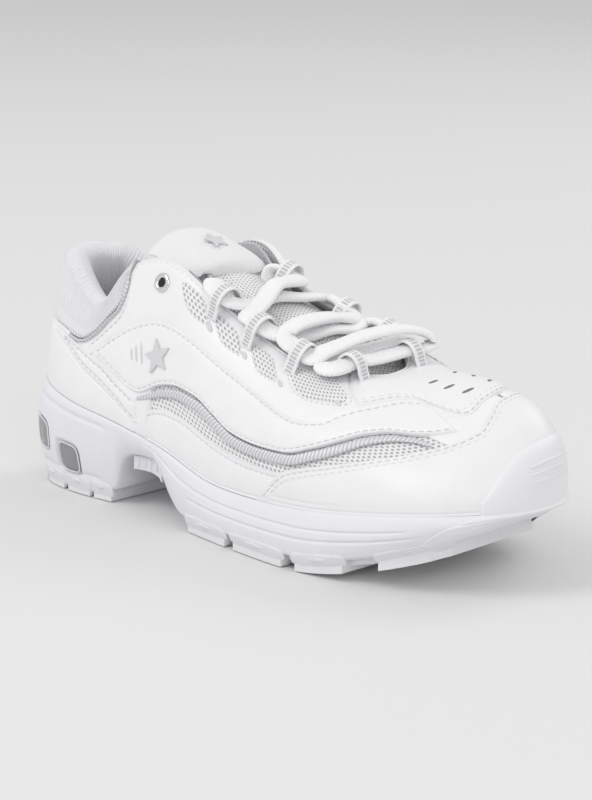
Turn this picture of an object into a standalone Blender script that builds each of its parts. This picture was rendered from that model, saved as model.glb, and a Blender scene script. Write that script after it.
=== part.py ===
"""Cheer shoe for the right foot, built from its separate pieces.

The shoe points along +X, its outer (lateral) side faces -Y and its inner (medial) side +Y.
Every number in the tables is in millimetres, measured from the back of the heel, and MM turns
it into metres.  The upper is one form, skin(s, h): s runs round the shoe through thirty
stations, from the back of the heel (0) along the outer side to the toe (15) and back along the
inner side (30), and h runs from the sole (0) up to the top edge (1).
"""

import math

import bmesh
import bpy
import numpy as np
from mathutils import Vector

MM = 0.001
CENTRE_X = 138.5          # middle of the shoe's length, from the back of the heel
CENTRE_Y = -2.8           # middle of the shoe's width
TURN = 30                 # stations once round the shoe

# Layers of the upper, as distances outwards from the form.
LINING = (-5.6, -4.5)
STIFFENER = (-4.1, -2.8)
MESH = (-2.1, -0.8)
LEATHER = (0.0, 1.3)
STRAP = (0.0, 2.2)
BUMPER = (0.4, 3.2)

GAP = 0.35                # between pieces that touch
LACE_RADIUS = 2.4
AGLET_RADIUS = 1.7
PIPING_RADIUS = 1.0
WAVE_RADIUS = 1.4
EYELET_RADIUS = 3.4
EYELET_WIRE = 0.9
STAR_RADIUS = 8.0
TONGUE_STAR_RADIUS = 6.0
RUN = 0.5                 # spacing of the columns round the shoe, in stations

# Each station: foot of the form x, y, z; top edge x, y, z; then how the section leaves the
# sole (outwards, up) and how it arrives at the top edge (inwards, up).
FORM = (
    (2, 0, 50, 7, 0, 107, 3, 40, 2, 40),
    (6, -17, 49, 11, -14, 106, 3, 40, 2, 40),
    (19, -29, 46, 23, -23, 101, 4, 40, 3, 38),
    (41, -35, 42, 43, -27, 88, 5, 34, 4, 32),
    (61, -36, 39, 56, -26, 99, 5, 40, 6, 38),
    (83, -37, 35, 67, -23, 110, 6, 50, 10, 46),
    (105, -40, 31, 83, -20, 113, 6, 56, 16, 48),
    (127, -43, 25, 101, -21, 107, 7, 58, 24, 46),
    (149, -46, 23, 122, -20, 95, 7, 56, 32, 38),
    (174, -50, 24, 141, -19, 85, 7, 52, 38, 28),
    (199, -52, 26, 156, -18, 78, 7, 48, 44, 20),
    (223, -51, 29, 169, -15, 74, 7, 48, 50, 14),
    (245, -47, 32, 179, -10, 73, 7, 50, 58, 10),
    (263, -37, 34, 186, -4, 73, 8, 66, 72, 8),
    (274, -22, 35, 189, 1, 73, 9, 112, 88, 5),
    (278, -3, 36, 190, 5, 74, 10, 150, 100, 2),
    (271, 13, 36, 189, 9, 75, 8, 130, 88, 5),
    (260, 25, 34, 186, 14, 77, 6, 90, 68, 8),
    (245, 34, 32, 180, 18, 81, 5, 60, 56, 10),
    (227, 43, 30, 170, 20, 85, 6, 50, 48, 14),
    (205, 46, 27, 156, 20, 90, 7, 48, 42, 20),
    (179, 45, 25, 140, 20, 95, 7, 52, 36, 28),
    (152, 41, 24, 123, 21, 101, 7, 56, 30, 38),
    (129, 37, 26, 109, 25, 109, 7, 58, 20, 46),
    (106, 35, 32, 94, 29, 117, 6, 56, 10, 48),
    (83, 34, 36, 77, 27, 114, 6, 50, 8, 46),
    (61, 34, 40, 59, 27, 101, 5, 40, 6, 38),
    (41, 33, 43, 43, 27, 90, 5, 34, 4, 32),
    (19, 27, 47, 23, 23, 103, 4, 40, 3, 38),
    (6, 15, 49, 11, 14, 106, 3, 40, 2, 40),
)

# Seam lines of the upper on the outer side, as (s, h); the inner side is the same, mirrored.
COLLAR_LINE = ((-1, .475), (0, .47), (1, .475), (1.8, .50), (2.4, .55), (2.8, .58), (3.3, .66),
               (3.7, .69), (4.3, .71), (4.6, .77), (4.8, .88))
LINING_TOP = ((-1, .43), (0, .43), (1, .43), (1.8, .455), (2.4, .50), (2.8, .53), (3.3, .61),
              (3.7, .64), (4.3, .66), (4.6, .72), (4.9, .86), (5.3, .955), (6, .965), (15, .965))
STRAP_BOTTOM = ((0, .482), (1.2, .482), (1.8, .472), (2.6, .445), (3.2, .36), (3.8, .265), (4.4, .165),
                (5, .06))
STRAP_TOP = ((1.9, .495), (2.8, .545), (3.7, .425), (4.4, .30), (5.0, .225))
QUARTER_BOTTOM = ((3.35, .50), (3.8, .43), (4.4, .33), (5.0, .275), (5.8, .345), (6.6, .395),
                  (7.1, .405), (7.6, .375), (8.1, .335), (8.7, .325), (9.5, .335), (10.2, .385),
                  (11, .445), (11.8, .495), (12.3, .505), (12.9, .47), (13.7, .42))
QUARTER_TOP = ((3.35, .515), (4.2, .55), (5.1, .59), (5.7, .61), (6.3, .62), (7, .63),
               (8.2, .61), (8.9, .58), (9.5, .54), (10, .52), (10.8, .545), (11.4, .60),
               (12.3, .65), (13.1, .67), (13.5, .64), (13.7, .50))
EYESTAY_BOTTOM = ((3.1, .525), (3.5, .545), (4.2, .58), (5.1, .62), (5.7, .64), (6.3, .65),
                  (7, .66), (8.2, .64), (8.9, .61), (9.5, .57), (10, .55), (10.8, .575),
                  (11.4, .63), (12, .665))
EYESTAY_TOP = ((3.1, .58), (3.3, .61), (3.7, .64), (4.3, .66), (4.6, .70),
               (4.8, .77), (5.0, .93), (5.3, .96), (12, .965))
SADDLE_BOTTOM = ((12.05, .675), (13.1, .705), (13.55, .68), (13.85, .53), (14.1, .47),
                 (14.6, .50), (15, .51))
TOE_CAP_TOP = ((9.05, .16), (9.5, .245), (10.3, .30), (11.1, .335), (12, .365), (13, .385),
               (13.9, .38), (14.3, .42), (14.8, .47), (15.2, .47))
SIDE_TOP = ((5.2, .06), (5.35, .20), (6.0, .245), (6.7, .26), (7.5, .24), (8.2, .22), (9, .21))
BUMPER_TOP = ((12.3, .0), (13, .01), (13.3, .05), (13.6, .11), (13.9, .16), (14.4, .20),
              (15, .20))
WAVE_LINE = ((5.0, .24), (5.4, .275), (5.8, .31), (6.6, .36), (7.1, .37), (7.6, .34),
             (8.1, .30), (8.7, .29), (9.5, .30), (10.2, .35), (11, .41), (11.8, .46),
             (12.3, .47), (12.7, .45), (12.95, .41))

# Side wall of the sole, by station: bulge at mid height, reach at the bottom edge.
WALL = ((0, 3.6, 3.0), (1, 3.6, 2.5), (2, 3.2, 1.0), (3, 2.2, -1.0), (4, 1.6, -2.0),
        (5, 1.2, -1.0), (6, 1.4, 1.0), (7, 2.0, 3.5), (8, 2.4, 5.0), (9, 2.4, 5.0),
        (10, 2.4, 3.5), (11, 2.6, 1.5), (12, 3.0, -1.5), (13, 4.0, -4.0), (14, 4.0, -6.0),
        (15, 4.0, -6.0))
LIP_OUT = 2.6             # reach of the sole's top edge beyond the upper
LIP_RISE = 0.3
BUMPER_START = 12.3
BUMPER_INSET = 3.6        # room that the midsole leaves for the toe bumper
DECK_DROP = 2.6
BOARD = (-2.25, -0.35)    # insole board, heights against the foot of the form
FOOTBED = (0.2, 4.0)
FOOTBED_INSET = 7.2

# Underside of the midsole by distance from the heel, with the arch cut out under the waist.
UNDERSIDE = ((-10, 5.5), (62, 5.5), (66, 7.5), (70, 20.5), (76, 24.5), (92, 25.5), (98, 21),
             (106, 11.5), (114, 6), (120, 5.5), (190, 5.5), (204, 7), (225, 11.5), (245, 17.5),
             (262, 24), (274, 30), (290, 34))
SHANK_STATIONS = (4.66, 5.6)
HEEL_LUGS = ((0, 1.5), (1.65, 2.45), (2.6, 3.3), (3.45, 4.0))
FOREFOOT_LUGS = ((6.65, 7.9), (8.15, 9.35), (9.65, 10.6), (11.3, 12.7))
LUG_DEPTH = 2.6
LUG_STEP = 4.5
HEEL_WINDOWS = ((1.45, 2.15, 0.28, 0.60), (2.5, 3.1, 0.12, 0.46))

LEATHER_LOOK = ((0.86, 0.86, 0.86), 0.45, 0.0)
MESH_LOOK = ((0.80, 0.80, 0.81), 0.85, 0.0)
TEXTILE_LOOK = ((0.78, 0.78, 0.80), 0.9, 0.0)
FOAM_LOOK = ((0.80, 0.80, 0.84), 0.6, 0.0)
RUBBER_LOOK = ((0.82, 0.82, 0.83), 0.5, 0.0)
SILVER_LOOK = ((0.45, 0.45, 0.46), 0.5, 0.0)
METAL_LOOK = ((0.75, 0.75, 0.76), 0.2, 1.0)
LACE_LOOK = ((0.92, 0.92, 0.92), 0.8, 0.0)
BOARD_LOOK = ((0.7, 0.66, 0.6), 0.9, 0.0)
WINDOW_LOOK = ((0.30, 0.30, 0.32), 0.4, 0.0)


# ---------------------------------------------------------------- curves and the form

def hermite(a, b, da, db, t):
    """Cubic from a to b with end slopes da and db."""
    return ((2 * t**3 - 3 * t**2 + 1) * a + (t**3 - 2 * t**2 + t) * da
            + (3 * t**2 - 2 * t**3) * b + (t**3 - t**2) * db)


def smooth_line(points):
    """A smooth function of one variable through the points, which never overshoots them."""
    xs, ys = np.array(points, float).T
    steps = np.diff(ys) / np.diff(xs)
    slopes = np.concatenate([[steps[0]], np.zeros(len(xs) - 2), [steps[-1]]])
    for k in range(1, len(xs) - 1):
        if steps[k - 1] * steps[k] > 0:
            slopes[k] = 2 * steps[k - 1] * steps[k] / (steps[k - 1] + steps[k])

    def value(x):
        x = min(max(x, xs[0]), xs[-1])
        i = min(int(np.searchsorted(xs, x, side="right")) - 1, len(xs) - 2)
        width = xs[i + 1] - xs[i]
        return hermite(ys[i], ys[i + 1], slopes[i] * width, slopes[i + 1] * width,
                       (x - xs[i]) / width)
    return value


def closed_slopes(rows):
    """Slopes that make a closed cubic curve through the rows smooth."""
    n = len(rows)
    system = 4 * np.eye(n) + np.roll(np.eye(n), 1, 0) + np.roll(np.eye(n), -1, 0)
    return np.linalg.solve(system, 3 * (np.roll(rows, -1, 0) - np.roll(rows, 1, 0)))


ROWS = np.array(FORM, float)
SLOPES = closed_slopes(ROWS)
UP = np.array((0.0, 0.0, 1.0))


def station(s):
    """Values of the form table at s, and the outward direction of the foot of the form."""
    s = s % TURN
    i = int(s)
    j = (i + 1) % TURN
    t = s - i
    row = hermite(ROWS[i], ROWS[j], SLOPES[i], SLOPES[j], t)
    slope = ((6 * t * t - 6 * t) * (ROWS[i] - ROWS[j]) + (3 * t * t - 4 * t + 1) * SLOPES[i]
             + (3 * t * t - 2 * t) * SLOPES[j])
    out = np.array((slope[1], -slope[0], 0.0))
    return row, out / np.linalg.norm(out)


def on_form(s, h):
    """Point of the form at station s and height h."""
    row, out = station(s)
    leave = out * row[6] + UP * row[7]
    arrive = UP * row[9] - out * row[8]
    return hermite(row[0:3], row[3:6], leave, arrive, h)


def form_normal(s, h):
    """Outward direction of the form at (s, h)."""
    step = 0.002
    round_it = on_form(s + step, h) - on_form(s - step, h)
    up_it = on_form(s, h + step) - on_form(s, h - step)
    normal = np.cross(round_it, up_it)
    return normal / np.linalg.norm(normal)


def skin(s, h, offset=0.0):
    """Point at a distance outwards from the form."""
    return on_form(s, h) + form_normal(s, h) * offset


def mirrored(s, side):
    """Station s on the outer side, or its opposite on the inner side."""
    return s if side == "lateral" else TURN - s


# ---------------------------------------------------------------- making objects

def new_collection(name):
    collection = bpy.data.collections.new(name)
    bpy.context.scene.collection.children.link(collection)
    return collection


def material(name, look):
    """Principled material of a colour, roughness and metallic value."""
    made = bpy.data.materials.get(name)
    if made is None:
        made = bpy.data.materials.new(name)
        made.use_nodes = True
        shader = made.node_tree.nodes["Principled BSDF"]
        shader.inputs["Base Color"].default_value = (*look[0], 1.0)
        shader.inputs["Roughness"].default_value = look[1]
        shader.inputs["Metallic"].default_value = look[2]
    return made


def world(point):
    """A point of the tables in metres, with the origin under the middle of the shoe."""
    return Vector(((point[0] - CENTRE_X) * MM, (point[1] - CENTRE_Y) * MM, point[2] * MM))


def finish_mesh(name, mesh_points, faces, surface, look, origin=(0.0, 0.0, 0.0)):
    """Object from points in table units, welded, facing out, with its origin at a point."""
    bm = bmesh.new()
    start = Vector(origin)
    made = [bm.verts.new(world(point) - start) for point in mesh_points]
    for face in faces:
        bm.faces.new([made[i] for i in face])
    bmesh.ops.remove_doubles(bm, verts=bm.verts, dist=0.00001)
    bmesh.ops.dissolve_degenerate(bm, edges=bm.edges, dist=0.00001)
    bmesh.ops.triangulate(bm, faces=bm.faces)
    bmesh.ops.recalc_face_normals(bm, faces=bm.faces)
    mesh = bpy.data.meshes.new(name)
    bm.to_mesh(mesh)
    bm.free()
    mesh.shade_smooth()
    mesh.set_sharp_from_angle(angle=math.radians(35))
    mesh.materials.append(material(surface, look))
    made_object = bpy.data.objects.new(name, mesh)
    made_object.location = start
    PARTS.objects.link(made_object)
    return made_object


def loft(name, rings, surface, look, closed=False, origin=(0.0, 0.0, 0.0)):
    """Solid through closed rings of equal length, capped at both ends unless it closes."""
    count = len(rings[0])
    points = [point for ring in rings for point in ring]
    faces = []
    last = len(rings) if closed else len(rings) - 1
    for i in range(last):
        here, there = i * count, ((i + 1) % len(rings)) * count
        for k in range(count):
            after = (k + 1) % count
            faces.append((here + k, here + after, there + after, there + k))
    if not closed:
        faces.append(tuple(range(count)))
        faces.append(tuple(range(len(points) - 1, len(points) - count - 1, -1)))
    return finish_mesh(name, points, faces, surface, look, origin)


def columns(start, end, step=RUN):
    """Stations from start to end that fall on the common columns, and both ends."""
    inner = np.arange(math.ceil(start / step + 0.05), math.floor(end / step - 0.05) + 1) * step
    return [start, *inner, end]


def shell(name, stations, bottom, top, layer, rows, surface, look, closed=False):
    """Panel of the upper between two seam lines, with the thickness of its layer."""
    rings = []
    for s in stations:
        heights = np.linspace(bottom(s), top(s), rows + 1)
        outer = [skin(s, h, layer[1]) for h in heights]
        inner = [skin(s, h, layer[0]) for h in heights[::-1]]
        rings.append(outer + inner)
    return loft(name, rings, surface, look, closed)


def tube(name, points, radius, surface, look, tapered=False):
    """Round cord or piping through the points, with closed ends."""
    curve = bpy.data.curves.new(name, "CURVE")
    curve.dimensions = "3D"
    curve.bevel_depth = radius * MM
    curve.bevel_resolution = 2
    curve.use_fill_caps = True
    spline = curve.splines.new("POLY")
    spline.points.add(len(points) - 1)
    last = len(points) - 1
    for i, point in enumerate(points):
        spline.points[i].co = (*world(point), 1.0)
        if tapered:
            spline.points[i].radius = 0.45 + 0.55 * min(1.0, 4.0 * i / last, 4.0 * (last - i) / last)
    curve.materials.append(material(surface, look))
    made = bpy.data.objects.new(name, curve)
    PARTS.objects.link(made)
    return made


def even_points(points, spacing):
    """Points at an even spacing along a smooth curve through the given points."""
    given = np.array(points, float)
    slopes = np.gradient(given, axis=0)
    fine = []
    for i in range(len(given) - 1):
        for t in np.linspace(0, 1, 24, endpoint=False):
            fine.append(hermite(given[i], given[i + 1], slopes[i], slopes[i + 1], t))
    fine.append(given[-1])
    fine = np.array(fine)
    walked = np.concatenate([[0], np.cumsum(np.linalg.norm(np.diff(fine, axis=0), axis=1))])
    count = max(2, round(walked[-1] / spacing) + 1)
    wanted = np.linspace(0, walked[-1], count)
    return np.stack([np.interp(wanted, walked, fine[:, k]) for k in range(3)], axis=1)


# ---------------------------------------------------------------- sole unit

BULGE = smooth_line([(s, bulge) for s, bulge, _ in WALL])
REACH = smooth_line([(s, reach) for s, _, reach in WALL])
UNDER = smooth_line(UNDERSIDE)


def fold(s):
    """Station on the outer side that matches s by distance round the shoe."""
    s = s % TURN
    return min(s, TURN - s)


def wall(s, q, offset=0.0):
    """Point on the sole's side wall, from its bottom edge (q 0) to its lip (q 1)."""
    row, out = station(s)
    side = fold(s)
    reach = (1 - q) * REACH(side) + q * LIP_OUT + 4 * q * (1 - q) * BULGE(side) + offset
    point = row[0:3] + out * reach
    low = UNDER(point[0])
    point[2] = low + q * (row[2] + LIP_RISE - low)
    return point


def across(a, b, count):
    """Points strictly between a and b."""
    return [a + (b - a) * k / (count + 1) for k in range(1, count + 1)]


def deck_edge(s, inset, height):
    """Point at a distance inside the foot of the form, at a height against it."""
    row, out = station(s)
    return row[0:3] - out * inset + UP * height


def midsole_ring(s):
    """Section of the midsole: outer wall, lip, deck, inner wall, underside."""
    inset = BUMPER_INSET if s >= BUMPER_START else 0.0
    walls = []
    for at in (s, TURN - s):
        side = [wall(at, q, -inset) for q in np.linspace(0, 1, 7)]
        side.append(deck_edge(at, inset - LIP_OUT + 0.5, LIP_RISE))
        side.append(deck_edge(at, inset - LIP_OUT + 0.8, -DECK_DROP))
        walls.append(side)
    outer, inner = walls
    return (outer + across(outer[-1], inner[-1], 3) + inner[::-1]
            + across(inner[0], outer[0], 3))


def midsole():
    stations = columns(0, 15)
    stations += [4.15, 4.3, 4.7, 4.85, 5.15, 5.3, 5.7, 5.85, 6.15, 6.3]
    stations += [BUMPER_START - 0.02, BUMPER_START]
    loft("midsole", [midsole_ring(s) for s in sorted(set(stations))], "foam", FOAM_LOOK)


def slab(name, stations, edge, top, bottom, surface, look, origin=(0.0, 0.0, 0.0)):
    """Plate between the two sides of the shoe, from a plan outline and two heights."""
    rings = []
    for s in stations:
        outer, inner = edge(s), edge(TURN - s)
        upper = [np.array((*p[:2], top(s, p))) for p in (outer, *across(outer, inner, 3), inner)]
        lower = [np.array((*p[:2], bottom(s, p))) for p in (inner, *across(inner, outer, 3), outer)]
        rings.append(upper + lower)
    return loft(name, rings, surface, look, origin=origin)


def outsole(name, lugs):
    """Rubber plate under the midsole, stepped into lugs with grooves between them."""
    stations = []
    lifted = []
    for i, (first, last) in enumerate(lugs):
        for s in columns(first, last, 0.25):
            stations.append(s)
            lifted.append(False)
        if i + 1 < len(lugs):
            for s in (last + 0.03, lugs[i + 1][0] - 0.03):
                stations.append(s)
                lifted.append(True)
    groove = dict(zip(stations, lifted))

    def edge(s):
        side = fold(s)
        row, out = station(s)
        step = LUG_STEP if groove[side_key[round(side, 4)]] else 0.6
        inset = BUMPER_INSET if side >= BUMPER_START else 0.0
        return row[0:3] + out * (REACH(side) - step - inset)

    side_key = {round(s, 4): s for s in stations}

    def top(s, point):
        return UNDER(point[0]) - GAP

    def bottom(s, point):
        lift = LUG_DEPTH if groove[s] else 0.0
        return UNDER(point[0]) - 5.5 + lift

    slab(name, stations, edge, top, bottom, "outsole_rubber", RUBBER_LOOK)


def arch_shank():
    """Moulded bridge under the waist, in the top of the arch."""
    def edge(s):
        row, out = station(s)
        return row[0:3] + out * (REACH(fold(s)) - 1.5)

    def top(s, point):
        return UNDER(point[0]) - GAP

    def bottom(s, point):
        return UNDER(point[0]) - 6.5

    slab("arch_shank", columns(*SHANK_STATIONS, 0.25), edge, top, bottom, "shank_plastic",
         RUBBER_LOOK)


def toe_bumper():
    """Rubber bumper wrapped up over the toe, outside the midsole and the upper."""
    top = smooth_line(BUMPER_TOP)
    rings = []
    for s in columns(BUMPER_START + 0.03, TURN - BUMPER_START - 0.03):
        rise = top(fold(s))
        outer = [wall(s, q) for q in np.linspace(0, 1, 5)]
        inner = [wall(s, q, 2 * GAP - BUMPER_INSET) for q in np.linspace(0, 1, 5)]
        for k in range(1, 5):
            h = 0.012 + (0.008 + rise) * k / 4
            outer.append(skin(s, h, BUMPER[1]))
            inner.append(skin(s, h, BUMPER[0]))
        rings.append(outer + inner[::-1])
    loft("toe_bumper", rings, "bumper_rubber", RUBBER_LOOK)


def heel_windows():
    """See-through cushion windows set on both sides of the heel."""
    for side in ("lateral", "medial"):
        for number, (s0, s1, q0, q1) in enumerate(HEEL_WINDOWS, 1):
            rings = []
            for s in np.linspace(s0, s1, 5):
                taper = 1.0 - 0.35 * (2 * (s - s0) / (s1 - s0) - 1) ** 2
                mid, half = (q0 + q1) / 2, (q1 - q0) / 2 * taper
                at = mirrored(s, side)
                heights = np.linspace(mid - half, mid + half, 5)
                rings.append([wall(at, q, 1.4) for q in heights]
                             + [wall(at, q, 0.5) for q in heights[::-1]])
            loft("heel_window_%s_%d" % (side, number), rings, "window_plastic", WINDOW_LOOK)


def insole_board():
    def edge(s):
        inset = BUMPER_INSET if fold(s) >= BUMPER_START - 0.5 else 0.0
        return deck_edge(s, inset - LIP_OUT + 1.3, 0.0)

    def heights(level):
        return lambda s, point: point[2] + level

    stations = columns(0.5, 14.5)
    slab("insole_board", stations, edge, heights(BOARD[1]), heights(BOARD[0]), "board",
         BOARD_LOOK)


def sockliner():
    """Loose footbed, lifted out heel first about its toe end."""
    def edge(s):
        return deck_edge(s, FOOTBED_INSET, 0.0)

    def heights(level):
        return lambda s, point: point[2] + level

    slab("sockliner", columns(0.4, 14.5), edge, heights(FOOTBED[1]), heights(FOOTBED[0]),
         "footbed_foam", FOAM_LOOK, origin=world(FOOTBED_PIVOT))


# ---------------------------------------------------------------- upper

def lines_for(*tables):
    """Seam lines as functions of s, the same on both sides."""
    made = []
    for table in tables:
        value = smooth_line(table)
        made.append(lambda s, value=value: value(fold(s)))
    return made


def side_panel(kind, start, end, bottom_table, top_table, layer, rows, surface, look):
    """The same panel on the outer and the inner side."""
    for side in ("lateral", "medial"):
        bottom, top = lines_for(bottom_table, top_table)
        ends = sorted((mirrored(start, side), mirrored(end, side)))
        shell("%s_%s" % (kind, side), columns(*ends), bottom, top, layer, rows, surface, look)


def flat(level):
    """A seam line at one height."""
    return ((0, level), (TURN / 2, level))


def inner_layers():
    """Lining, heel stiffener, toe puff and the mesh base of both sides."""
    foot, lining_top = lines_for(flat(0.035), LINING_TOP)
    shell("lining", columns(0, TURN)[:-1], foot, lining_top, LINING, 6, "lining_textile",
          TEXTILE_LOOK, closed=True)
    stiff_top, = lines_for(((0, .38), (2.5, .36), (3.5, .24)))
    shell("heel_counter", columns(-3.5, 3.5), foot, stiff_top, STIFFENER, 5, "stiffener",
          BOARD_LOOK)
    puff_foot, puff_top = lines_for(flat(0.05), ((12.5, .30), (14, .38), (15, .42)))
    shell("toe_puff", columns(12.5, 17.5), puff_foot, puff_top, STIFFENER, 5, "stiffener",
          BOARD_LOOK)
    side_panel("mesh_base", 5.1, 14.97, flat(0.035), flat(0.955), MESH, 12, "air_mesh", MESH_LOOK)


def leather_panels():
    """Leather pieces of the upper, each in its own place."""
    foot, cover_top = lines_for(flat(0.035), STRAP_BOTTOM)
    shell("heel_cover", columns(-4.9, 4.9), foot, cover_top, LEATHER, 5, "leather",
          LEATHER_LOOK)
    raised_bottom = tuple((s, h + 0.02) for s, h in STRAP_BOTTOM)
    side_panel("heel_strap", 1.95, 5.0, raised_bottom, STRAP_TOP, STRAP, 2, "leather",
               LEATHER_LOOK)
    side_panel("quarter", 3.4, 13.65, QUARTER_BOTTOM, QUARTER_TOP, LEATHER, 4, "leather",
               LEATHER_LOOK)
    side_panel("eyestay", 3.15, 12.0, EYESTAY_BOTTOM, EYESTAY_TOP, LEATHER, 5, "leather",
               LEATHER_LOOK)
    side_panel("side_panel", 5.2, 8.95, flat(0.035), SIDE_TOP, LEATHER, 3, "leather",
               LEATHER_LOOK)
    saddle_bottom, saddle_top = lines_for(SADDLE_BOTTOM, flat(0.965))
    shell("vamp_saddle", columns(12.05, 17.95), saddle_bottom, saddle_top, LEATHER, 5,
          "leather", LEATHER_LOOK)
    cap_foot = smooth_line(BUMPER_TOP)
    _, cap_top = lines_for(flat(0.0), TOE_CAP_TOP)
    shell("toe_cap", columns(9.05, 20.95), lambda s: cap_foot(fold(s)) + 0.045, cap_top,
          LEATHER, 5, "leather", LEATHER_LOOK)


def collar():
    """Padded textile collar, from the piping over the rim and down the inside."""
    line = smooth_line(COLLAR_LINE)
    rings = []
    for s in columns(-4.7, 4.7):
        row, out = station(s)
        low = line(fold(s)) + 0.02
        rim = row[3:6]
        plump = min(1.0, (4.95 - fold(s)) / 1.2)
        depth = 5.0 + 7.5 * plump
        ring = [skin(s, low + (0.93 - low) * k / 4, 0.3) for k in range(5)]
        ring.append(rim - out * 1.2 - UP * 0.6)
        ring.append(rim - out * (0.45 * depth) + UP * 1.0 * plump)
        ring.append(rim - out * (0.85 * depth) - UP * 1.6)
        ring.append(skin(s, 0.9, -depth - 0.5))
        ring.append(skin(s, 0.9 - (0.9 - low) * 0.4, -depth))
        ring.append(skin(s, 0.9 - (0.9 - low) * 0.75, -3.0 - 0.6 * depth))
        ring.append(skin(s, low + 0.01, -2.5 - 0.35 * depth))
        rings.append(ring)
    loft("collar_pad", rings, "collar_textile", TEXTILE_LOOK)


def pipings():
    """Silver edging: round the collar, and the wave on each side."""
    line = smooth_line(COLLAR_LINE)
    for side in ("lateral", "medial"):
        stations = np.linspace(3.0, 4.62, 14)
        points = [skin(mirrored(s, side), line(s) - 0.004, 0.7) for s in stations]
        tube("collar_piping_%s" % side, points, PIPING_RADIUS, "piping", SILVER_LOOK)
        wave = [skin(mirrored(s, side), h, 0.9) for s, h in WAVE_LINE]
        tube("wave_piping_%s" % side, even_points(wave, 7.0), WAVE_RADIUS, "piping",
             SILVER_LOOK, tapered=True)


# ---------------------------------------------------------------- tongue

# Sections of the tongue from the front of the throat to its seam: station of the outer edge,
# height of that edge on the form, inset under the eyestay, and how far the middle is crowned.
TONGUE = ((12.8, .88, 10.0, -8.4), (12.2, .88, 9.8, -4.2), (11.5, .89, 8.8, 1.0),
          (10.6, .90, 8, 3.0), (9.8, .90, 8, 4.0), (9, .90, 8, 4.5), (8.2, .93, 8.5, 4.0),
          (7.7, .96, 13.5, 3.0), (7.3, .97, 15.5, 2.0))
TONGUE_THICKNESS = 4.0
TONGUE_PIVOT = (106.3, 2.0, 107.6)
FOOTBED_PIVOT = (268.0, -3.0, 36.2)

# Padded top of the tongue: x, half width, height of the middle, height of the edge, thickness
# in the middle and at the edge.
TONGUE_PAD = ((103.7, 10.0, 107.5, 104.8, 4.0, 2.4), (102.4, 15.0, 110.0, 107.4, 6.5, 2.6),
              (99.0, 17.0, 112.6, 109.6, 9.0, 3.0), (93.0, 17.5, 115.6, 111.8, 11.0, 3.4),
              (86.0, 17.0, 118.6, 114.2, 11.5, 3.8), (79.0, 16.0, 121.2, 117.0, 10.5, 4.0),
              (74.0, 14.0, 121.8, 118.2, 8.0, 4.0), (71.0, 11.0, 119.8, 117.4, 3.5, 2.6))
PAD_MIDDLE_Y = 2.0
PAD_SKEW = 4.0            # how much further forward the pad's inner side reaches


def arc_points(a, middle, b, count):
    """Points of the parabola through a, middle and b."""
    return [a * (1 - t) * (1 - 2 * t) + middle * 4 * t * (1 - t) + b * t * (2 * t - 1)
            for t in np.linspace(0, 1, count)]


def tongue_lower():
    """Mesh part of the tongue, under the eyestays and the lace."""
    rings = []
    for s, h, inset, crown in TONGUE:
        a, b = skin(s, h, -inset), skin(TURN - s, h, -inset)
        rim = (station(s)[0][3:6] + station(TURN - s)[0][3:6]) / 2
        middle = (a + b) / 2
        middle[2] = rim[2] + crown - 3.2
        top = arc_points(a, middle, b, 9)
        low = [point - UP * TONGUE_THICKNESS for point in top[::-1]]
        rings.append(top + low)
    loft("tongue_lower", rings, "air_mesh", MESH_LOOK)


def tongue_pad():
    """Padded top of the tongue, which tips about the seam."""
    rings = []
    for x, half, z_middle, z_edge, thick, thin in TONGUE_PAD:
        top, low = [], []
        for t in np.linspace(-1, 1, 9):
            fall = t * t
            y = PAD_MIDDLE_Y + half * t
            z = z_middle + (z_edge - z_middle) * fall
            deep = thick + (thin - thick) * abs(t) ** 0.8
            along = x + PAD_SKEW * t
            top.append(np.array((along, y, z)))
            low.append(np.array((along, PAD_MIDDLE_Y + half * t * 0.96, z - deep)))
        rings.append(top + low[::-1])
    loft("tongue_pad", rings, "tongue_textile", TEXTILE_LOOK, origin=world(TONGUE_PIVOT))


# ---------------------------------------------------------------- trims, loops and lace

def star_outline(radius):
    """Five-pointed star in its own plane."""
    points = []
    for k in range(10):
        reach = radius if k % 2 == 0 else radius * 0.45
        angle = math.pi / 2 + k * math.pi / 5
        points.append((reach * math.cos(angle), reach * math.sin(angle)))
    return points


def star(name, centre, right, up, normal, radius, thickness, surface):
    """Raised star laid on a surface."""
    outline = star_outline(radius)
    rings = []
    for level in (0.0, thickness):
        rings.append([centre + right * a + up * b + normal * level for a, b in outline])
    loft(name, rings, surface, LEATHER_LOOK)


def emblems():
    for side in ("lateral", "medial"):
        s, h = mirrored(5.85, side), 0.47
        normal = form_normal(s, h)
        up = on_form(s, h + 0.05) - on_form(s, h)
        up /= np.linalg.norm(up)
        right = np.cross(up, normal)
        star("quarter_emblem_%s" % side, skin(s, h, LEATHER[1] + 0.75), right, up, normal,
             STAR_RADIUS, 0.9, "emblem")
    normal = np.array((0.41, 0.0, 0.912))
    up = np.array((-0.912, 0.0, 0.41))
    star("tongue_emblem", np.array((89.5, PAD_MIDDLE_Y, 117.1)) + normal * 0.35,
         np.array((0.0, -1.0, 0.0)), up, normal, TONGUE_STAR_RADIUS, 0.8, "emblem")


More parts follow.
